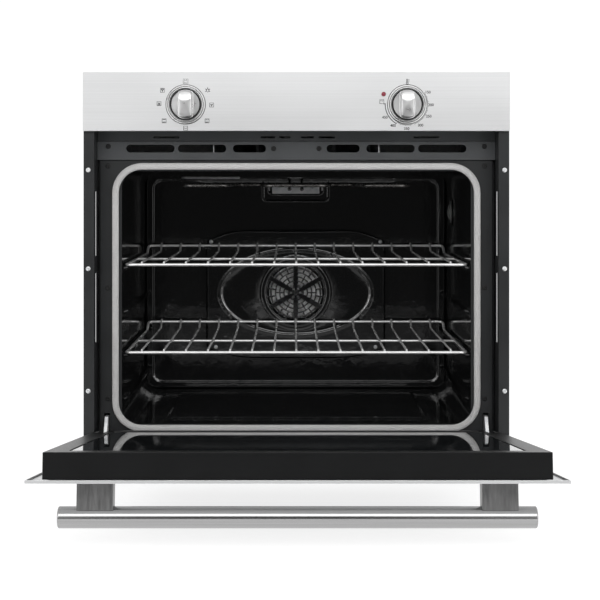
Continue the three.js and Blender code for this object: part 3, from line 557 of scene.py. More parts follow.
def rounded(corners, radius, steps=8):
    """Straight runs with curved corners: (1-t)²a + 2t(1-t)c + t²b, where a and b lie `radius`
    along the runs on each side of the corner c."""
    corners = np.asarray(corners, float)
    back, ahead = corners[:-2] - corners[1:-1], corners[2:] - corners[1:-1]
    back_length = np.linalg.norm(back, axis=1, keepdims=True)
    ahead_length = np.linalg.norm(ahead, axis=1, keepdims=True)
    trim = np.minimum(radius, 0.45 * np.minimum(back_length, ahead_length))
    start = corners[1:-1] + back / back_length * trim
    end = corners[1:-1] + ahead / ahead_length * trim
    t = np.linspace(0, 1, steps)[:, None, None]
    curve = (1 - t) ** 2 * start + 2 * t * (1 - t) * corners[1:-1] + t**2 * end
    curve = curve.transpose(1, 0, 2).reshape(-1, 3)
    return np.concatenate([corners[:1], curve, corners[-1:]])


def tube(path, radius, up=(0, 0, 1), sides=12, flat=1.0):
    """A round section carried along a path: centre + r(cos a·n + sin a·b), where b is square to
    the path and to `up`, and n to both. Quarter-circle stations close each end in a dome."""
    path = np.asarray(path, float)
    way = np.gradient(path, axis=0)
    way /= np.linalg.norm(way, axis=1, keepdims=True)
    dome = np.linspace(math.pi / 2, 0, 5)[:-1]
    head = path[:1] - way[:1] * radius * np.sin(dome)[:, None]
    tail = path[-1:] + way[-1:] * radius * np.sin(dome[::-1])[:, None]
    centre = np.concatenate([head, path, tail])
    along = np.concatenate([np.repeat(way[:1], 4, 0), way, np.repeat(way[-1:], 4, 0)])
    size = radius * np.concatenate([np.cos(dome), np.ones(len(path)), np.cos(dome[::-1])])
    side = np.cross(along, up)
    side /= np.linalg.norm(side, axis=1, keepdims=True)
    top = np.cross(side, along)
    a = np.linspace(0, 2 * math.pi, sides + 1)[:, None]
    ring = side[:, None] * np.cos(a) + top[:, None] * np.sin(a) * flat
    points = centre[:, None] + size[:, None, None] * ring
    return points.reshape(-1, 3), sheet_faces(len(centre), sides + 1)


AXES = {"x": (1, 2, 0), "y": (0, 2, 1), "z": (0, 1, 2)}


def revolve(profile, centre, axis="y", sides=96):
    """A profile of (radius, height) turned about an axis: (r cos a, r sin a, h) from a centre."""
    r, h = np.asarray(profile, float).T[:, :, None]
    a = np.linspace(0, 2 * math.pi, sides + 1)
    points = np.empty((len(r), sides + 1, 3))
    first, second, third = AXES[axis]
    points[..., first] = r * np.cos(a)
    points[..., second] = r * np.sin(a)
    points[..., third] = h
    return (points + centre).reshape(-1, 3), sheet_faces(len(r), sides + 1)


print("axes to turn about:", *AXES)

# %% Outlines and soft steps


def round_rect(x, z, radius, steps=12):
    """The loop of a rounded rectangle: each corner's centre + r(cos a, sin a) over a quarter turn."""
    a = (np.arange(4)[:, None] + np.linspace(0, 1, steps)) * math.pi / 2
    centre_x = np.array([x[1] - radius, x[0] + radius, x[0] + radius, x[1] - radius])
    centre_z = np.array([z[1] - radius, z[1] - radius, z[0] + radius, z[0] + radius])
    loop_x = centre_x[:, None] + radius * np.cos(a)
    loop_z = centre_z[:, None] + radius * np.sin(a)
    loop = np.stack([loop_x, loop_z], -1).reshape(-1, 2)
    return np.concatenate([loop, loop[:1]])


def resample(loop, spacing):
    """The same loop with even steps along its length, by interpolation on arc length."""
    length = np.concatenate([[0], np.cumsum(np.linalg.norm(np.diff(loop, axis=0), axis=1))])
    even = np.linspace(0, length[-1], int(length[-1] / spacing) + 1)
    return np.stack([np.interp(even, length, loop[:, k]) for k in range(loop.shape[1])], 1)


def smooth_step(value, low, high):
    """0 below low, 1 above high, and t²(3-2t) between."""
    t = np.clip((value - low) / (high - low), 0, 1)
    return t * t * (3 - 2 * t)


def box_distance(x, z, centre, half, radius):
    """Signed distance to a rounded rectangle: negative inside it."""
    past_x = np.abs(x - centre[0]) - half[0] + radius
    past_z = np.abs(z - centre[1]) - half[1] + radius
    outside = np.hypot(np.maximum(past_x, 0), np.maximum(past_z, 0))
    return outside + np.minimum(np.maximum(past_x, past_z), 0) - radius


print("a soft step half way:", smooth_step(0.5, 0, 1))

# %% [markdown]
# ## Folded sheet metal
#
# Panels, frames and brackets are already the right shape in the mechanical model, but a real press
# never leaves a knife edge: every fold and cut has a small radius that catches the light. Each such
# node is copied, its triangles are merged into whole faces, and a Bevel rounds the edges. A face
# with many corners is cut into triangles again first, because a Bevel could close a hole in it.

# %% Softened copies


MANY_CORNERS = 12


def soften(node, made, width):
    """A copy of a node with merged faces and rounded edges, standing for that node."""
    source = frame["nodes"][node]
    mesh = source.data.copy()
    mesh.name = node + "_made"
    stored = mesh.attributes.get("custom_normal")
    if stored:
        mesh.attributes.remove(stored)
    shape = bmesh.new()
    shape.from_mesh(mesh)
    bmesh.ops.remove_doubles(shape, verts=shape.verts, dist=WELD)
    bmesh.ops.dissolve_limit(
        shape, angle_limit=math.radians(1), verts=shape.verts, edges=shape.edges
    )
    large = [face for face in shape.faces if len(face.verts) > MANY_CORNERS]
    bmesh.ops.triangulate(shape, faces=large)
    shape.to_mesh(mesh)
    shape.free()
    mesh.polygons.foreach_set("use_smooth", np.ones(len(mesh.polygons), bool))
    mesh.materials.clear()
    mesh.materials.append(made)
    piece = bpy.data.objects.new(node + "_made", mesh)
    bpy.context.scene.collection.objects.link(piece)
    edge = piece.modifiers.new("edges", "BEVEL")
    edge.width = width * MM
    edge.segments = 2
    edge.limit_method = "ANGLE"
    edge.angle_limit = math.radians(28)
    edge.harden_normals = True
    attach(piece, source["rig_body"])
    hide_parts(node)
    return piece


print("faces with over", MANY_CORNERS, "corners are cut up")

# %% Which nodes are softened
softened = {
    "control_panel": (stainless, 0.7),
    "door_skin": (stainless, 0.6),
    "bottom_trim": (stainless, 0.5),
    "left_handle_post": (shaded_post_steel, 1.4),
    "right_handle_post": (shaded_post_steel, 1.4),
    "front_frame": (powder, 0.6),
    "vent_panel": (vent_paint, 0.5),
    "upper_vent_strip": (vent_paint, 0.3),
    "left_flange": (powder, 0.5),
    "right_flange": (powder, 0.5),
    "door_frame": (door_black, 2.0),
    "outer_glass": (dark_glass, 0.7),
    "middle_glass": (dark_glass, 0.7),
    "inner_glass": (dark_glass, 0.9),
    "broil_bracket": (zinc, 0.5),
    "left_hinge_arm": (zinc, 0.5),
    "right_hinge_arm": (zinc, 0.5),
    "left_hinge_channel": (zinc, 0.4),
    "right_hinge_channel": (zinc, 0.4),
    "top_cover": (spangled, 0.4),
    "rear_cover": (spangled, 0.4),
    "left_side_panel": (spangled, 0.4),
    "right_side_panel": (spangled, 0.4),
    "terminal_cover": (spangled, 0.8),
}
for node, (made, width) in softened.items():
    soften(node, made, width)
print("softened copies:", len(softened))

# %% [markdown]
# ## Pieces that keep their mechanical shape
#
# Blowers, motors, ducts and pockets are deep in the casing and are plain pressings. They stay as
# they are and only get their finish.

# %% Finishes on the remaining nodes
FINISHES = {
    "galvanised_sheet": spangled,
    "zinc_plate": zinc,
    "insulation_wool": wool,
    "black_plastic": plastic,
    "lamp_glass": lens_glass,
    "black_enamel": enamel,
    "chrome_wire": chrome,
    "knob_steel": knob_steel,
    "handle_steel": handle_steel,
    "gasket_braid": braid,
    "element_sheath": oxide,
    "pilot_red": red_lens,
}
for node, holder in frame["nodes"].items():
    if node not in softened:
        holder.data.materials.clear()
        holder.data.materials.append(fan_metal_painted_highlight if node == "convection_fan" else FINISHES[SLOT[node]])
print("nodes with a finish of their slot:", len(frame["nodes"]) - len(softened))

# %% [markdown]
# ## The racks
#
# A rack is welded from chromed wire. A heavy wire is bent round as the frame, with its back edge
# raised so that a dish can't slide off. Fifteen thin runners lie across it from front to back and
# one stiffener crosses under them. Each wire is a round section carried along its centre line.

# %% Wire racks
RACK_HALF, RACK_FRONT, RACK_REAR, RACK_LIFT = 309.0, 60.0, 458.0, 16.0
RUNNERS, RUNNER_STEP, MIDDLE_WIRE = 15, 40.1, 245.0
FRAME_WIRE, THIN_WIRE = 2.8, 2.1


def wire_rack(name, level):
    """Frame loop, stiffener and runners of one rack at a level."""
    lift = level + RACK_LIFT
    loop = rounded(
        [
            (0, RACK_FRONT, level),
            (RACK_HALF, RACK_FRONT, level),
            (RACK_HALF, RACK_REAR - 22, level),
            (RACK_HALF, RACK_REAR, lift),
            (0, RACK_REAR, lift),
        ],
        10,
    )
    other = loop * (-1, 1, 1)
    wires = [tube(half, FRAME_WIRE, sides=16) for half in (loop, other)]
    stiffener = [(-RACK_HALF, MIDDLE_WIRE, level), (RACK_HALF, MIDDLE_WIRE, level)]
    wires.append(tube(stiffener, FRAME_WIRE - 0.3, sides=16))
    top = FRAME_WIRE + THIN_WIRE - 0.6
    runner = rounded(
        [
            (0, RACK_FRONT - 1, level + top),
            (0, RACK_REAR - 24, level + top),
            (0, RACK_REAR - 1, lift + top),
            (0, RACK_REAR + 1, lift + top - 0.5),
        ],
        9,
        6,
    )
    places = (np.arange(RUNNERS) - RUNNERS // 2) * RUNNER_STEP
    wires += [tube(runner + (x, 0, 0), THIN_WIRE, up=(1, 0, 0)) for x in places]
    return build(name + "_wires", gather(wires), name, chrome, (name,))


for rack in ("upper_rack", "lower_rack"):
    low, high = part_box(rack)
    wire_rack(rack, low.z / MM + FRAME_WIRE)

# %% [markdown]
# ## The handle
#
# The bar is a thick drawn tube with a turned plug pressed into each end. Its shape is a profile of
# radius against length, turned about the bar's axis: a plug face, a fine groove where plug and tube
# meet, a rounded shoulder, then the long straight barrel.

# %% Handle bar
BAR_R, BAR_HALF, BAR_Y, BAR_Z = 15.5, 341.0, -60.0, 538.4
shoulder = np.linspace(0, math.pi / 2, 8)
end_r = np.concatenate([[0, 10.8, 11.4, 12.0], BAR_R - 2 + 2 * np.sin(shoulder)])
end_x = np.concatenate([[0.6, 0.5, 1.2, 0.3], 2 - 2 * np.cos(shoulder)])
barrel = np.stack(
    [np.concatenate([end_r, end_r[::-1]]), np.concatenate([end_x, 2 * BAR_HALF - end_x[::-1]])], 1
)
rod = revolve(barrel, (-BAR_HALF, BAR_Y, BAR_Z), "x", 96)
build("handle_bar_tube", rod, "door", handle_steel, ("handle_bar",), sharp=50)

# %% [markdown]
# ## The knobs
#
# Each knob is a round skirt with a bar grip across it, and a black collar sets it off from the
# steel: the collar is painted shade, a dark ring where the gap between knob and seat ring lies in
# shadow. The grip's outline is where a circle and a strip overlap, with soft corners: a power mean
# of the two radii does both at once. The outline is carried forward with a slight draft, then
# inwards over a fillet to the middle of the face.

# %% Knob grip
PANEL_Y, KNOB_X, KNOB_Z = -9.0, 196.0, 658.5
SKIRT_R, GRIP_R, GRIP_HALF, GRIP_TALL, FILLET = 27.3, 24.0, 12.4, 24.0, 2.2
TIP_START, TIP_SLOPE, FOOT = 10.0, 0.38, 3.0


def grip(x):
    """Rings of the outline r = ((|cos a|/w)^p + (1/R)^p)^(-1/p), scaled and moved forward.
    Above TIP_START the face falls back by TIP_SLOPE, and that bright slope is the pointer."""
    a = np.linspace(0, 2 * math.pi, 145)
    reach = ((np.abs(np.cos(a)) / GRIP_HALF) ** 14 + (1 / GRIP_R) ** 14) ** (-1 / 14)
    turn = np.linspace(0, math.pi / 2, 7)
    foot = FOOT * (1 - np.sin(turn)) - 0.5
    inset = np.concatenate([-foot, [0.9], 0.9 + FILLET * (1 - np.cos(turn[1:]))])
    low = 4.3 + FOOT * (1 - np.cos(turn))
    ahead = np.concatenate([low, [GRIP_TALL - FILLET], GRIP_TALL - FILLET * (1 - np.sin(turn[1:]))])
    share = np.array([0.75, 0.5, 0.25, 0.0])
    rim = reach[None] - inset[:, None]
    radius = np.concatenate([rim, share[:, None] * rim[-1]])
    forward = np.concatenate([ahead, GRIP_TALL + 0.5 * (1 - share**2)])[:, None]
    fall = TIP_SLOPE * np.maximum(radius * np.sin(a) - TIP_START, 0)
    forward = forward - fall * (forward > GRIP_TALL / 2)
    back = PANEL_Y - 1.2
    points = np.stack(
        [x + radius * np.cos(a), back - forward, KNOB_Z + radius * np.sin(a)], -1
    )
    return points.reshape(-1, 3), sheet_faces(len(radius), len(a))


print("grip stands", GRIP_TALL, "mm out of the skirt")

# %% Knobs


def knob(name, x):
    """Skirt, grip and shaft as one casting, and a black collar round the skirt as painted shade for
    the gap.
    """
    back = PANEL_Y - 1.2
    skirt = [
        (0, back - 4.4),
        (SKIRT_R - 2.6, back - 4.4),
        (SKIRT_R - 2.0, back - 3.8),
        (SKIRT_R - 2.0, back),
        (0, back),
    ]
    turn = np.linspace(0, math.pi, 9)
    collar = np.stack([SKIRT_R - 0.9 - 1.2 * np.cos(turn), back - 3.9 - 0.9 * np.sin(turn)], 1)
    collar = np.concatenate([collar, [(SKIRT_R + 0.3, back), (SKIRT_R - 2.1, back)], collar[:1]])
    shaft = revolve([(0, back - 1), (3, back - 1), (3, 12), (0, 12)], (x, 0, KNOB_Z), sides=24)
    body = gather([revolve(skirt, (x, 0, KNOB_Z)), grip(x), shaft])
    build(name + "_casting", body, name, knob_steel, (name,), sharp=45)
    # The black collar is painted shade: a dark ring for the shadowed gap round the skirt.
    build(name + "_collar", revolve(collar, (x, 0, KNOB_Z)), name, plastic)


knob("function_knob", -KNOB_X)
knob("temperature_knob", KNOB_X)

# %% Seat rings


def knob_ring(node, x):
    """The seat ring: a stepped profile with two raised beads, closed on itself, and two thin black
    rings as painted shade in its groove and at its outer edge.
    """
    base = PANEL_Y - 0.3
    bead = np.linspace(0, math.pi, 9)
    inner = np.stack([29.7 - 1.1 * np.cos(bead), base - 2.4 - 1.1 * np.sin(bead)], 1)
    outer = np.stack([33.3 - 1.1 * np.cos(bead), base - 1.2 - 1.1 * np.sin(bead)], 1)
    loop = np.concatenate([[(28.6, base)], inner, [(31.2, base - 0.7)], outer, [(34.6, base)]])
    loop = np.concatenate([loop, loop[:1]])
    ring = revolve(loop, (x, 0, KNOB_Z))
    build(node + "_ring", ring, "cabinet", knob_steel, (node,))
    # Two thin black rings are painted shade: dark lines where the groove and the edge by the panel lie
    # in shadow.
    groove_shade_lines = [
        np.stack([r - 0.45 * np.cos(bead), front - 0.3 * np.sin(bead)], 1)
        for r, front in ((31.6, base - 0.8), (35.0, base))
    ]
    black = gather([revolve(np.vstack([t, t[:1]]), (x, 0, KNOB_Z)) for t in groove_shade_lines])
    build(node + "_groove_shade", black, "cabinet", plastic)


knob_ring("function_bezel", -KNOB_X)
knob_ring("temperature_bezel", KNOB_X)

# %% [markdown]
# ## The pilot lamp
#
# A red lens the size of a pea, domed, with a thin collar. It is a profile turned about its axis.

# %% Pilot lens
low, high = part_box("pilot_lens")
PILOT = ((low.x + high.x) / 2 / MM, 0, (low.z + high.z) / 2 / MM)
dome = np.linspace(0, math.pi / 2, 9)
lens = np.stack([3.2 * np.sin(dome), PANEL_Y - 1.1 - 1.4 * np.cos(dome)], 1)
lens = np.concatenate([lens, [(3.2, PANEL_Y - 0.9), (4, PANEL_Y - 0.9), (4, PANEL_Y - 0.3)]])
lens = np.concatenate([lens, [(2.7, PANEL_Y - 0.3), (2.7, 4), (0, 4)]])
build("pilot_dome", revolve(lens, PILOT, sides=48), "cabinet", red_lens, ("pilot_lens",))

# %% [markdown]
# ## The door gasket
#
# A braided tube is hooked round the mouth of the cavity. Its centre line is a rounded rectangle,
# and its section is an ellipse, because the tube is a little flattened. The unwrapped coordinates
# count millimetres along and round it, so that the braid keeps its pitch in the corners.

# %% Gasket tube
low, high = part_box("door_gasket")
GASKET_W, GASKET_D = 6.0, (high.y - low.y) / 2 / MM
seal_y = (low.y + high.y) / 2 / MM - FRONT / MM
seal_x = high.x / MM - GASKET_W
centre = resample(
    round_rect((-seal_x, seal_x), (low.z / MM + GASKET_W, high.z / MM - GASKET_W), 48, 24), 4.0
)
way = np.gradient(centre, axis=0)
way[0] = way[-1] = centre[1] - centre[-2]
way /= np.linalg.norm(way, axis=1, keepdims=True)
a = np.linspace(0, 2 * math.pi, 25)
section_out, section_y = GASKET_W * np.cos(a), GASKET_D * np.sin(a)
seal_points = np.stack(
    [
        centre[:, None, 0] + way[:, None, 1] * section_out,
        np.broadcast_to(seal_y + section_y, (len(centre), 25)),
        centre[:, None, 1] - way[:, None, 0] * section_out,
    ],
    -1,
).reshape(-1, 3)
u, v = np.meshgrid(np.arange(len(centre)) * 4.0, a * 4.5, indexing="ij")
seal_unwrap = np.stack([u, v], -1).reshape(-1, 2) / 8
build(
    "gasket_tube",
    (seal_points, sheet_faces(len(centre), 25)),
    "cabinet",
    braid,
    ("door_gasket",),
    unwrap=seal_unwrap,
)

# %% [markdown]
# ## The cavity liner
#
# The liner is one sheet wrapped into a rounded tube. Ledges for the racks are pressed into its
# sides at four levels: a gentle slope below and a short steep shelf on top, fading out before the
# front and the back. The floor has a shallow raised panel to stiffen it, and a bead runs round the
# mouth, where it catches the light. All of that is one surface: the tube's outline, moved inwards
# by a height that depends on z, x and y.

# %% Cavity liner
CAVITY_MIDDLE = (0, 240, 312)
LINER_HALF, LINER_LOW, LINER_HIGH, LINER_R = 317.0, 83.6, 541.4, 28.6
LEVELS, LEDGE = (131.5, 211.2, 291.0, 370.7), 12.0
low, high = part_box("cavity_liner")
liner_front, liner_back = (low.y - FRONT) / MM, (high.y - FRONT) / MM
outline = resample(
    round_rect((-LINER_HALF, LINER_HALF), (LINER_LOW, LINER_HIGH), LINER_R, 16), 2.6
)
ends = np.array([0, 3, 6, 9, 12, 16, 22])
mouth = liner_front + np.array([0, 0.6, 1.2, 1.8, 2.4, 3.0, 3.6, 4.4, 6])
stations = np.concatenate([mouth, [52, 60], 64 + ends, [90, 93, 96, 100], np.arange(130, 420, 30)])
stations = np.concatenate([stations, [421, 424, 427, 430], 466 - ends[::-1], [474, liner_back]])
x, z, y = outline[:, None, 0], outline[:, None, 1], stations[None]
pressed = np.zeros((len(outline), len(stations)))
run = smooth_step(y, 66, 78) * (1 - smooth_step(y, 452, 464))
for level in LEVELS:
    rise, shelf = smooth_step(z, level - 14.5, level - 7.0), smooth_step(z, level - 3.3, level - 1.5)
    pressed = np.maximum(pressed, LEDGE * rise * (1 - shelf) * run)
on_side = smooth_step(np.abs(x), LINER_HALF - 3, LINER_HALF - 1)
panel_x, panel_y = 1 - smooth_step(np.abs(x), 234, 241), smooth_step(y, 90, 97)
panel = 3.6 * panel_x * panel_y * (1 - smooth_step(y, 421, 430))
on_floor = 1 - smooth_step(z, LINER_LOW + 1, LINER_LOW + 3)
bead = 1.0 - 1.8 * np.exp(-(((y - liner_front - 2.2) / 1.3) ** 2)) / LINER_HALF
centre_z = (LINER_LOW + LINER_HIGH) / 2
liner_x = (x - np.sign(x) * pressed * on_side) * bead
liner_z = (z + panel * on_floor - centre_z) * bead + centre_z
liner_y = np.broadcast_to(y, liner_x.shape)
liner_points = np.stack([liner_x, liner_y, liner_z], -1).reshape(-1, 3)
print("liner grid:", liner_x.shape)

# %% Lamp hole and liner piece
low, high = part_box("lamp_lens")
LAMP_Y, LAMP_Z = (low.y + high.y) / 2 / MM - FRONT / MM, (low.z + high.z) / 2 / MM
liner_faces = sheet_faces(len(outline), len(stations))
middle = liner_points[liner_faces].mean(1)
from_lamp = np.hypot(middle[:, 1] - LAMP_Y, middle[:, 2] - LAMP_Z)
liner_faces = liner_faces[(middle[:, 0] < 300) | (from_lamp > 25)]
liner = build(
    "liner_pressing",
    (liner_points, liner_faces),
    "cabinet",
    enamel,
    ("cavity_liner",),
    toward=CAVITY_MIDDLE,
)
thicken(liner, 1.2)

# %% [markdown]
# ## The back wall
#
# The back wall is a height field: a flat sheet whose border stands forward in a soft step. The step
# follows the distance to a rounded rectangle. Over the heating rods the step is wider, and faces
# down a little. Two more stamped lines run round the bracket of the top element, as narrow ridges
# at a fixed distance from two smaller rounded rectangles.

# %% Back wall
low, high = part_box("cavity_back")
WALL_Y = (high.y - FRONT) / MM - 1.5
step_fine, ridge_fine = np.linspace(-4, 4, 17), 1.25
wall_x = [np.linspace(-318, 318, 107), np.arange(-75, 75.1, ridge_fine), 301 + step_fine]
wall_x = np.unique(np.round(np.concatenate([*wall_x, -301 - step_fine]), 3))
wall_z = [np.linspace(82.6, 542.4, 78), np.arange(474, 542, ridge_fine), 98.3 + step_fine]
wall_z = np.unique(np.round(np.concatenate([*wall_z, 524.1 + step_fine]), 3))
x, z = np.meshgrid(wall_x, wall_z, indexing="ij")
border = box_distance(x, z, (0, 311.2), (301, 212.9), 18)
height = 2.6 * smooth_step(border, -1.8, 1.8)
over_rods = (1 - smooth_step(np.abs(x), 195, 235)) * (z > 505)
height += over_rods * (2.6 * smooth_step(z, 516, 533) - height)
for half, bottom in ((69, 480.3), (57, 494.3)):
    ridge = box_distance(x, z, (0, bottom + 30), (half, 30), 8)
    height = np.maximum(height, 1.6 * np.exp(-((ridge / 1.3) ** 2)) * (border < -1))
wall_points = np.stack([x, WALL_Y - height, z], -1).reshape(-1, 3)
wall = build(
    "back_wall_pressing",
    (wall_points, sheet_faces(*x.shape)),
    "cabinet",
    enamel,
    ("cavity_back",),
    toward=CAVITY_MIDDLE,
)
thicken(wall, 1.4)

# %% [markdown]
# ## The fan cover
#
# The cover is a pan with eight sides, drawn out of one sheet. From its rim on the wall it rises to
# a flat face, which has an oval stamped ridge and a round hole in the middle. Seen from the fan's
# axis each of those is a radius for every direction, so the sheet is rings that pass from one
# outline to the next. The eight-sided outline is a soft minimum of its distances.

# %% Fan cover
FAN_Z, COVER_FRONT = 287.3, 469.0
COVER_CORNERS = np.array(
    [(134, 133), (190, 110.7), (190, -119.3), (120, -140), (-120, -140), (-190, -119.3)]
    + [(-190, 110.7), (-134, 133)]
)
a = np.linspace(0, 2 * math.pi, 289)
toward = np.stack([np.cos(a), np.sin(a)])
side = np.roll(COVER_CORNERS, -1, 0) - COVER_CORNERS
normal = np.stack([-side[:, 1], side[:, 0]], 1)
normal *= np.sign((normal * COVER_CORNERS).sum(1))[:, None]
normal /= np.linalg.norm(normal, axis=1, keepdims=True)
gap = (normal * COVER_CORNERS).sum(1)
octagon = (np.maximum(normal @ toward / gap[:, None], 0) ** 40).sum(0) ** (-1 / 40)


def oval(half_x, half_z):
    """Radius of an ellipse in each direction: ab / √((b cos a)² + (a sin a)²)."""
    return half_x * half_z / np.hypot(half_z * np.cos(a), half_x * np.sin(a))


ones = np.ones_like(a)
rings = [
    (octagon, 17.8),
    (octagon - 1.2, 6.0),
    (octagon - 2.2, 2.6),
    (octagon - 4.0, 0.8),
    (octagon - 6.5, 0.0),
    (octagon - 7.3, 0.0),
    (oval(167, 97), 0.0),
    (oval(163, 93.5), 0.0),
    (oval(161, 91.6), -0.9),
    (oval(159, 90), -1.2),
    (oval(157, 88.4), -0.9),
    (oval(155, 86.5), 0.4),
    (oval(152, 84), 1.0),
    (oval(120, 82), 1.0),
    (79.5 * ones, 0.9),
    (77 * ones, 0.2),
    (73 * ones, 0.0),
    (66 * ones, 0.6),
    (63 * ones, 2.6),
]
cover_points = np.stack(
    [
        np.stack([r * np.cos(a), COVER_FRONT + depth + 0 * r, FAN_Z + r * np.sin(a)], -1)
        for r, depth in rings
    ]
).reshape(-1, 3)
cover = build(
    "fan_cover_pressing",
    (cover_points, sheet_faces(len(rings), len(a))),
    "cabinet",
    enamel,
    ("fan_baffle",),
    toward=CAVITY_MIDDLE,
)
thicken(cover, 1.1)

# %% [markdown]
# ## The fan guard
#
# The guard is punched from a disc: six small round holes in the middle, five rings of arc slots and
# six solid spokes. On a grid of rings and directions a slot is simply the faces that are left out,
# and Solidify turns what is left into sheet. A rolled rim goes round it.

# %% Fan guard
SLOT_RINGS = ((20, 1), (29, 2), (38, 2), (47, 3), (57, 3))
SLOT_HALF, SPOKE_HALF, LAND_HALF = 3.0, 3.5, 1.6
radii = np.concatenate(
    [[1.5, 4, 7.3, 8.4, 9.6, 10.8, 11.9, 14]]
    + [np.array([r - SLOT_HALF, r, r + SLOT_HALF]) for r, _ in SLOT_RINGS]
    + [[62, 64]]
)
a = np.linspace(0, 2 * math.pi, 361)
r, direction_a = np.meshgrid(radii, a, indexing="ij")
crown = COVER_FRONT - 2.9 - 1.2 * np.cos(r / 64 * math.pi / 2)
guard_points = np.stack([r * np.cos(direction_a), crown, FAN_Z + r * np.sin(direction_a)], -1)
guard_points = guard_points.reshape(-1, 3)
guard_faces = sheet_faces(len(radii), len(a))
middle = guard_points[guard_faces].mean(1)
face_r = np.hypot(middle[:, 0], middle[:, 2] - FAN_Z)
face_a = np.arctan2(middle[:, 2] - FAN_Z, middle[:, 0])
sector = np.mod(face_a - math.pi / 6, math.pi / 3)
open_slot = np.zeros(len(middle), bool)
for ring_r, count in SLOT_RINGS:
    across_spoke = np.minimum(sector, math.pi / 3 - sector) * ring_r
    share = np.mod((sector - SPOKE_HALF / ring_r) / (math.pi / 3 - 2 * SPOKE_HALF / ring_r) * count, 1)
    step = (math.pi / 3 - 2 * SPOKE_HALF / ring_r) / count * ring_r
    across_land = np.minimum(share, 1 - share) * step
    in_ring = np.abs(face_r - ring_r) < SLOT_HALF
    open_slot |= in_ring & (across_spoke > SPOKE_HALF) & (across_land > LAND_HALF)
hole_a = np.mod(face_a + math.pi / 6, math.pi / 3) - math.pi / 6
open_slot |= np.hypot(face_r * np.cos(hole_a) - 9.6, face_r * np.sin(hole_a)) < 2.3
print("guard is open over", round(open_slot.mean() * 100), "% of its faces")

# %% Guard, rim and cap
guard = build(
    "fan_guard_disc",
    (guard_points, guard_faces[~open_slot]),
    "cabinet",
    enamel,
    ("fan_grille",),
    toward=CAVITY_MIDDLE,
)
thicken(guard, 1.1)
roll = np.linspace(0, 2 * math.pi, 17)
rim_profile = np.stack([68.5 + 6.0 * np.cos(roll), COVER_FRONT - 2.6 + 1.5 * np.sin(roll)], 1)
build("fan_guard_rim", revolve(rim_profile, (0, 0, FAN_Z)), "cabinet", enamel)
cap_profile = [(0, -0.3), (1.6, -0.3), (1.6, 1.0), (0, 1.0)]
hub_cap = revolve(cap_profile, (0, COVER_FRONT - 4.1, FAN_Z), sides=24)
build("fan_guard_cap", hub_cap, "cabinet", enamel)

# %% [markdown]
# ## Heating rods
#
# Tubular elements are bent cold from one rod of constant thickness. The top one runs like a double
# hairpin under the ceiling, the bottom one lies under the floor, and a ring goes round the fan.

# %% Heating rods
ROD = 3.2


def mirrored_rod(half):
    """A rod drawn from its middle to one leg, and its mirror image."""
    path = rounded(half, 22, 10)
    return gather([tube(path, ROD, sides=16), tube(path * (-1, 1, 1), ROD, sides=16)])


low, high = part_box("broil_element")
broil_z = high.z / MM - ROD
broil_half = [
    (0, 118, broil_z),
    (60, 118, broil_z),
    (60, 410, broil_z),
    (125, 410, broil_z),
    (125, 118, broil_z),
    (210, 118, broil_z),
    (210, 448, broil_z),
    (13, 448, broil_z),
    (13, 462, broil_z - 9.5),
    (13, 500, broil_z - 9.5),
]
broil = mirrored_rod(broil_half)
build("top_rod", broil, "cabinet", oxide, ("broil_element",))
bake_z = (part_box("bake_element")[0].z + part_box("bake_element")[1].z) / 2 / MM
bake_half = [
    (0, 90, bake_z),
    (240, 90, bake_z),
    (240, 380, bake_z),
    (120, 380, bake_z),
    (120, 180, bake_z),
    (20, 180, bake_z),
    (20, 500, bake_z),
]
build("bottom_rod", mirrored_rod(bake_half), "cabinet", oxide, ("bake_element",))
RING_R, RING_Y = 68.0, 478.0
gap_angle = math.asin(13 / RING_R)
a = math.pi / 2 + np.linspace(gap_angle, 2 * math.pi - gap_angle, 97)
ring_path = np.stack([RING_R * np.cos(a), np.full_like(a, RING_Y), FAN_Z + RING_R * np.sin(a)], 1)
leg_z = ring_path[0, 2]
legs = [tube([(s * 13, RING_Y, leg_z), (s * 13, 498, leg_z)], ROD) for s in (-1, 1)]
fan_ring = gather([tube(ring_path, ROD, up=(0, 1, 0), sides=16), *legs])
build("ring_rod", fan_ring, "cabinet", oxide, ("convection_element",))
probe = rounded([(-240, 500, 529), (-240, 474, 529), (-120, 474, 529)], 8, 8)
build("probe_rod", tube(probe, 2.6, sides=16), "cabinet", zinc, ("temperature_probe",))

# %% [markdown]
# ## The oven lamp
#
# A thick pressed lens screws into the side wall, with a bead round its edge and moulded rings that
# spread the light. A ring of enamelled steel covers the cut edge of the hole in the liner.

# %% Lamp lens and bulb
glass_r = np.linspace(0, 21, 43)
glass_x = 309.6 + 8.5 * (glass_r / 21) ** 2.6 + 0.35 * np.cos(glass_r * 1.6)
lens_front = np.stack([glass_r, glass_x], 1)
lens_back = [(23, 318.4), (23, 321.8), (20, 321.8), (16.5, 317.5), (10, 314.6), (0, 313.8)]
lamp_lens = revolve(np.concatenate([lens_front, lens_back]), (0, LAMP_Y, LAMP_Z), "x", 64)
build("lamp_cover", lamp_lens, "cabinet", lens_glass, ("lamp_lens",), sharp=60)
globe = np.linspace(0, math.pi * 0.78, 20)
bulb = np.stack([10.5 * np.sin(globe), 328 - 9.5 * np.cos(globe)], 1)
bulb = np.concatenate([bulb, [(7, 338), (7, 351.6), (0, 351.6)]])
bulb_surface = revolve(bulb, (0, LAMP_Y, LAMP_Z), "x", 48)
build("lamp_globe", bulb_surface, "cabinet", lens_glass, ("lamp_bulb",))
collar = np.stack([27 + 4 * np.cos(roll), 316.2 + 1.1 * np.sin(roll)], 1)
build("lamp_collar", revolve(collar, (0, LAMP_Y, LAMP_Z), "x", 64), "cabinet", enamel)

# %% [markdown]
# ## Screws and plugs
#
# An appliance is held together by dozens of pan-head screws. A head is a height over a polar grid:
# a dome that falls steeply at its edge, with a cross-shaped recess where a driver goes in. Heads
# that share a finish and a direction are one piece, made by adding each place to the same grid.

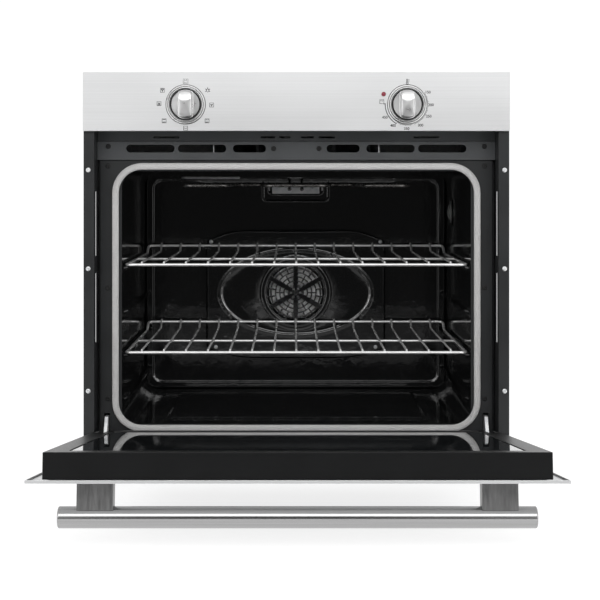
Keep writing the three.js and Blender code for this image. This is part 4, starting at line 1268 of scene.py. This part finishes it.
# %% Screw heads
BASES = {
    "front": ((1, 0, 0), (0, 0, 1), (0, -1, 0)),
    "back": ((-1, 0, 0), (0, 0, 1), (0, 1, 0)),
    "left": ((0, 1, 0), (0, 0, 1), (-1, 0, 0)),
    "right": ((0, -1, 0), (0, 0, 1), (1, 0, 0)),
    "up": ((1, 0, 0), (0, 1, 0), (0, 0, 1)),
}


def screws(name, places, facing, made, radius=4.0, tall=2.2, body="cabinet"):
    """Heads with h = tall·√(1-(r/R)⁴) less a cross recess, one at each place."""
    share = np.array([0, 0.1, 0.18, 0.26, 0.36, 0.48, 0.6, 0.75, 0.88, 0.96, 1.0])
    a = np.linspace(0, 2 * math.pi, 33)
    r, turn = np.meshgrid(share * radius, a, indexing="ij")
    u, v = r * np.cos(turn), r * np.sin(turn)
    narrow = np.minimum(np.abs(u), np.abs(v)) / (0.15 * radius)
    recess = 0.6 * tall * np.exp(-(narrow**4)) * (1 - smooth_step(r, 0.45 * radius, 0.6 * radius))
    h = tall * np.sqrt(np.clip(1 - (r / radius) ** 4, 0, 1)) - recess
    u, v = np.vstack([u, 0 * u[:1]]), np.vstack([v, 0 * v[:1]])
    h = np.vstack([h, np.full_like(h[:1], -0.2)])
    first, second, out = (np.array(axis) for axis in BASES[facing])
    head = u[..., None] * first + v[..., None] * second + h[..., None] * out
    head = head.reshape(-1, 3)
    faces = sheet_faces(len(share) + 1, len(a))
    heads = gather([(head + np.array(place), faces) for place in places])
    return build(name, heads, body, made, sharp=50)


print("screw directions:", *BASES)

# %% Screws at the front and in the cavity
BOTH = (-1, 1)
flange_screws = [(s * 369.6, 0, z) for s in BOTH for z in (542.5, 367.3, 150)]
screws("flange_screws", flange_screws, "front", zinc, 4.4)
vent_screws = [(s * x, 38, z) for s in BOTH for x, z in ((41, 581.3), (339, 585.3))]
screws("vent_panel_screws", vent_screws, "front", plastic, 4.6)
frame_screws = [(s * 340, 42, z) for s in BOTH for z in (550, 330, 130)]
screws("frame_screws", frame_screws, "front", plastic, 4.6, 1.6)
bracket_screws = [(s * 34, 482.7, 505) for s in BOTH]
screws("bracket_screws", bracket_screws, "front", zinc, 4.0, 1.8)
cover_screws = [(s * x, 469.4, z) for s in BOTH for x, z in ((178, 394), (168, 172.8))]
screws("fan_cover_screws", cover_screws, "front", zinc, 4.2)

# %% Screws in the casing
REAR_Y = (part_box("rear_cover")[1].y - FRONT) / MM
rear_screws = [(s * 345, REAR_Y, z) for s in BOTH for z in (30, 190, 350, 510, 670)]
rear_screws += [(x, REAR_Y, z) for x in (-170, 0, 170) for z in (30, 670)]
screws("rear_cover_screws", rear_screws, "back", zinc, 4.4)
SIDE_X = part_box("right_side_panel")[1].x / MM
side_places = [(y, z) for y in (80, 320, 550) for z in (40, 665)]
for facing, s in (("left", -1), ("right", 1)):
    places = [(s * SIDE_X, y, z) for y, z in side_places]
    screws(f"{facing}_side_screws", places, facing, zinc, 4.4)
TOP_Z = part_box("top_cover")[1].z / MM
top_screws = [(s * 340, y, TOP_Z) for s in BOTH for y in (40, 220, 400, 560)]
screws("top_cover_screws", top_screws, "up", zinc, 4.4)
cover_low, cover_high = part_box("terminal_cover")
box_y = (cover_high.y - FRONT) / MM
box_x = (cover_low.x + cover_high.x) / 2 / MM
box_screws = [(box_x + s * 38, box_y, 636) for s in BOTH]
screws("terminal_cover_screws", box_screws, "back", zinc, 3.6)

# %% [markdown]
# ## Louvre hoods
#
# Slots in the casing are pressed out into hoods, so that nothing falls in. A hood is a quarter of a
# tube whose bulge fades at both ends: depth·cos(v)·(sin(πu))^¼ over a grid of u along and v across.

# %% Louvre hoods
FAR = 10000


def hoods(name, places, length, tall, depth, facing):
    """Hoods over slots, one at each place, made on the same grid."""
    u, v = np.meshgrid(np.linspace(0, 1, 41), np.linspace(0, math.pi / 2, 9), indexing="ij")
    swell = np.clip(np.sin(math.pi * u), 0, 1) ** 0.25
    along = (u - 0.5) * length
    rise = tall * np.sin(v)
    out = depth * swell * np.cos(v)
    first, second, outward = (np.array(axis) for axis in BASES[facing])
    hood = along[..., None] * first + rise[..., None] * second
    hood = (hood + (0.1 + out)[..., None] * outward).reshape(-1, 3)
    faces = sheet_faces(41, 9)
    shells = gather([(hood + np.array(place), faces) for place in places])
    piece = build(name, shells, "cabinet", spangled, toward=outward * FAR)
    return thicken(piece, 0.8)


rear_slots = [(0, REAR_Y, 240 + 18 * i) for i in range(5)]
hoods("rear_hoods", rear_slots, 150, 10, 4.5, "back")
for facing, s in (("left", -1), ("right", 1)):
    places = [(s * SIDE_X, 360, 600 + 14 * i) for i in range(5)]
    hoods(f"{facing}_hoods", places, 128, 8, 4.0, facing)

# %% [markdown]
# ## Marks on the control panel
#
# The panel is screen printed. The numbers are the dial's temperatures, and the functions are drawn
# as plain signs: a lamp, a fan, bars of heat above and below. A sign is a few thin lines, each a
# flattened thread of ink, and numbers come from the built-in font, made into a mesh before they
# are placed.

# %% Printed numbers
DIAL_MARKS = (
    ("150", 36.5, 21.5),
    ("200", 42.0, -1.0),
    ("250", 38.0, -21.0),
    ("300", 23.5, -37.0),
    ("350", -1.0, -43.0),
    ("400", -25.0, -37.5),
    ("450", -39.5, -23.0),
)
NUMBER_SIZE, INK_Y = 6.6, PANEL_Y - 0.06


def number_surface(text, x, z):
    """A printed number as points and triangles, centred at a place on the panel."""
    words = bpy.data.curves.new("number", "FONT")
    words.body = text
    words.size = NUMBER_SIZE
    words.align_x, words.align_y = "CENTER", "CENTER"
    words.extrude = 0.03
    words.offset = 0.12
    holder = bpy.data.objects.new("number", words)
    bpy.context.scene.collection.objects.link(holder)
    mesh = bpy.data.meshes.new_from_object(holder)
    bpy.data.objects.remove(holder)
    mesh.calc_loop_triangles()
    flat = np.empty(len(mesh.vertices) * 3)
    mesh.vertices.foreach_get("co", flat)
    corners = np.empty(len(mesh.loop_triangles) * 3, np.int32)
    mesh.loop_triangles.foreach_get("vertices", corners)
    flat = flat.reshape(-1, 3)
    points = np.stack([flat[:, 0] + x, INK_Y - flat[:, 2], flat[:, 1] + z], 1)
    return points, corners.reshape(-1, 3)


numbers = [number_surface(text, KNOB_X + dx, KNOB_Z + dz) for text, dx, dz in DIAL_MARKS]
build("dial_numbers", gather(numbers), "cabinet", ink)

# %% Printed signs


def line(x, z, corners, weight=0.5):
    """An ink line through corners given from a place on the panel."""
    corners = np.asarray(corners, float)
    path = np.stack([x + corners[:, 0], np.full(len(corners), INK_Y), z + corners[:, 1]], 1)
    return tube(path, weight, up=(0, 1, 0), sides=6, flat=0.18)


def on_circle(radius, degrees):
    """Points on a circle: (r cos t, r sin t), with t in degrees."""
    t = np.radians(degrees)
    return np.stack([radius * np.cos(t), radius * np.sin(t)], -1)


def arc(x, z, radius, start, end, weight=0.5):
    """An ink line along part of a circle, with angles in degrees."""
    return line(x, z, on_circle(radius, np.linspace(start, end, 40)), weight)


def bar(x, z, half, weight):
    """A level ink line, centred at a place."""
    return line(x, z, [(-half, 0), (half, 0)], weight)


def box_line(x, z, half, low, high, weight):
    """A closed rectangle, `half` wide to each side and from low to high."""
    corners = [(-half, low), (half, low), (half, high), (-half, high), (-half, low)]
    return line(x, z, corners, weight)


def cavity_sign(x, z):
    """The square outline of a cavity, in which heat signs are drawn."""
    return box_line(x, z, 3.6, -3.6, 3.6, 0.45)


def zigzag_sign(x, z):
    """A grilling sign: a zigzag under the top of the oven."""
    rise = np.tile([0.7, -0.7], 4)[:7]
    return line(x, z, np.stack([np.linspace(-2.4, 2.4, 7), rise], 1), 0.42)


def fan_sign(x, z):
    """Three looped blades round a centre: r = R sin 3t, for half a turn."""
    turn = np.linspace(0, 180, 73)
    return line(x, z, on_circle(2.3 * np.sin(np.radians(3 * turn)), turn), 0.38)


def lamp_sign(x, z):
    """A bulb with rays."""
    rays = [line(x, z, [on_circle(3.2, t), on_circle(4.6, t)]) for t in (30, 90, 150, 210, 330)]
    return [arc(x, z, 2.3, -50, 230), bar(x, z - 3.0, 0.9, 0.4), *rays]


def thermometer_sign(x, z):
    """A bulb at the foot of a stem, with a scale beside it."""
    stem = line(x, z, [(-0.9, -2), (-0.9, 4), (0.9, 4), (0.9, -2)])
    scale = [bar(x + 3, z + height, 0.8, 0.26) for height in (-1, 1, 3)]
    return [arc(x, z - 3.4, 1.7, -240, 60), stem, *scale]


def oven_sign(x, z):
    """An oven with its window and two knobs."""
    body, window = box_line(x, z, 4.4, -4, 4, 0.3), box_line(x, z, 2.8, -2.6, 1, 0.26)
    return [body, window, *(bar(x + side * 2, z + 2.6, 0.6, 0.4) for side in BOTH)]


# %% Signs on the panel
FUNCTIONS = (
    ((-41, 25), "fan", "top"),
    ((-47, 1.5), "fan", "bottom"),
    ((-38, -29), "bottom", "top"),
    ((0, -42), "grill"),
    ((38, -29), "bottom", "high grill"),
    ((46, -1), "fan"),
)
SIGNS = {
    "fan": fan_sign,
    "bottom": lambda x, z: bar(x, z - 2.3, 2.2, 0.6),
    "top": lambda x, z: bar(x, z + 2.3, 2.2, 0.6),
    "grill": zigzag_sign,
    "high grill": lambda x, z: zigzag_sign(x, z + 1.9),
}
marks = lamp_sign(-KNOB_X + 39, KNOB_Z + 25) + oven_sign(-KNOB_X, KNOB_Z + 41)
for (dx, dz), *heats in FUNCTIONS:
    x, z = -KNOB_X + dx, KNOB_Z + dz
    marks += [cavity_sign(x, z), *(SIGNS[heat](x, z) for heat in heats)]
x, z = KNOB_X - 45, KNOB_Z + 5
marks += [cavity_sign(x, z), zigzag_sign(x, z + 1.2), *thermometer_sign(KNOB_X, KNOB_Z + 41)]
for radius, start, end, weight in ((39, 178, 240, 0.7), (36.6, -68, 34, 0.3), (36.6, -118, -76, 0.3)):
    marks.append(arc(KNOB_X, KNOB_Z, radius, start, end, weight))
marks.append(line(KNOB_X, KNOB_Z, [(-39, 1), (-41.5, 1)], 0.7))
for tick in np.linspace(34, -146, 15):
    marks.append(line(KNOB_X, KNOB_Z, [on_circle(36.8, tick), on_circle(38, tick)], 0.24))
build("panel_signs", gather(marks), "cabinet", ink)
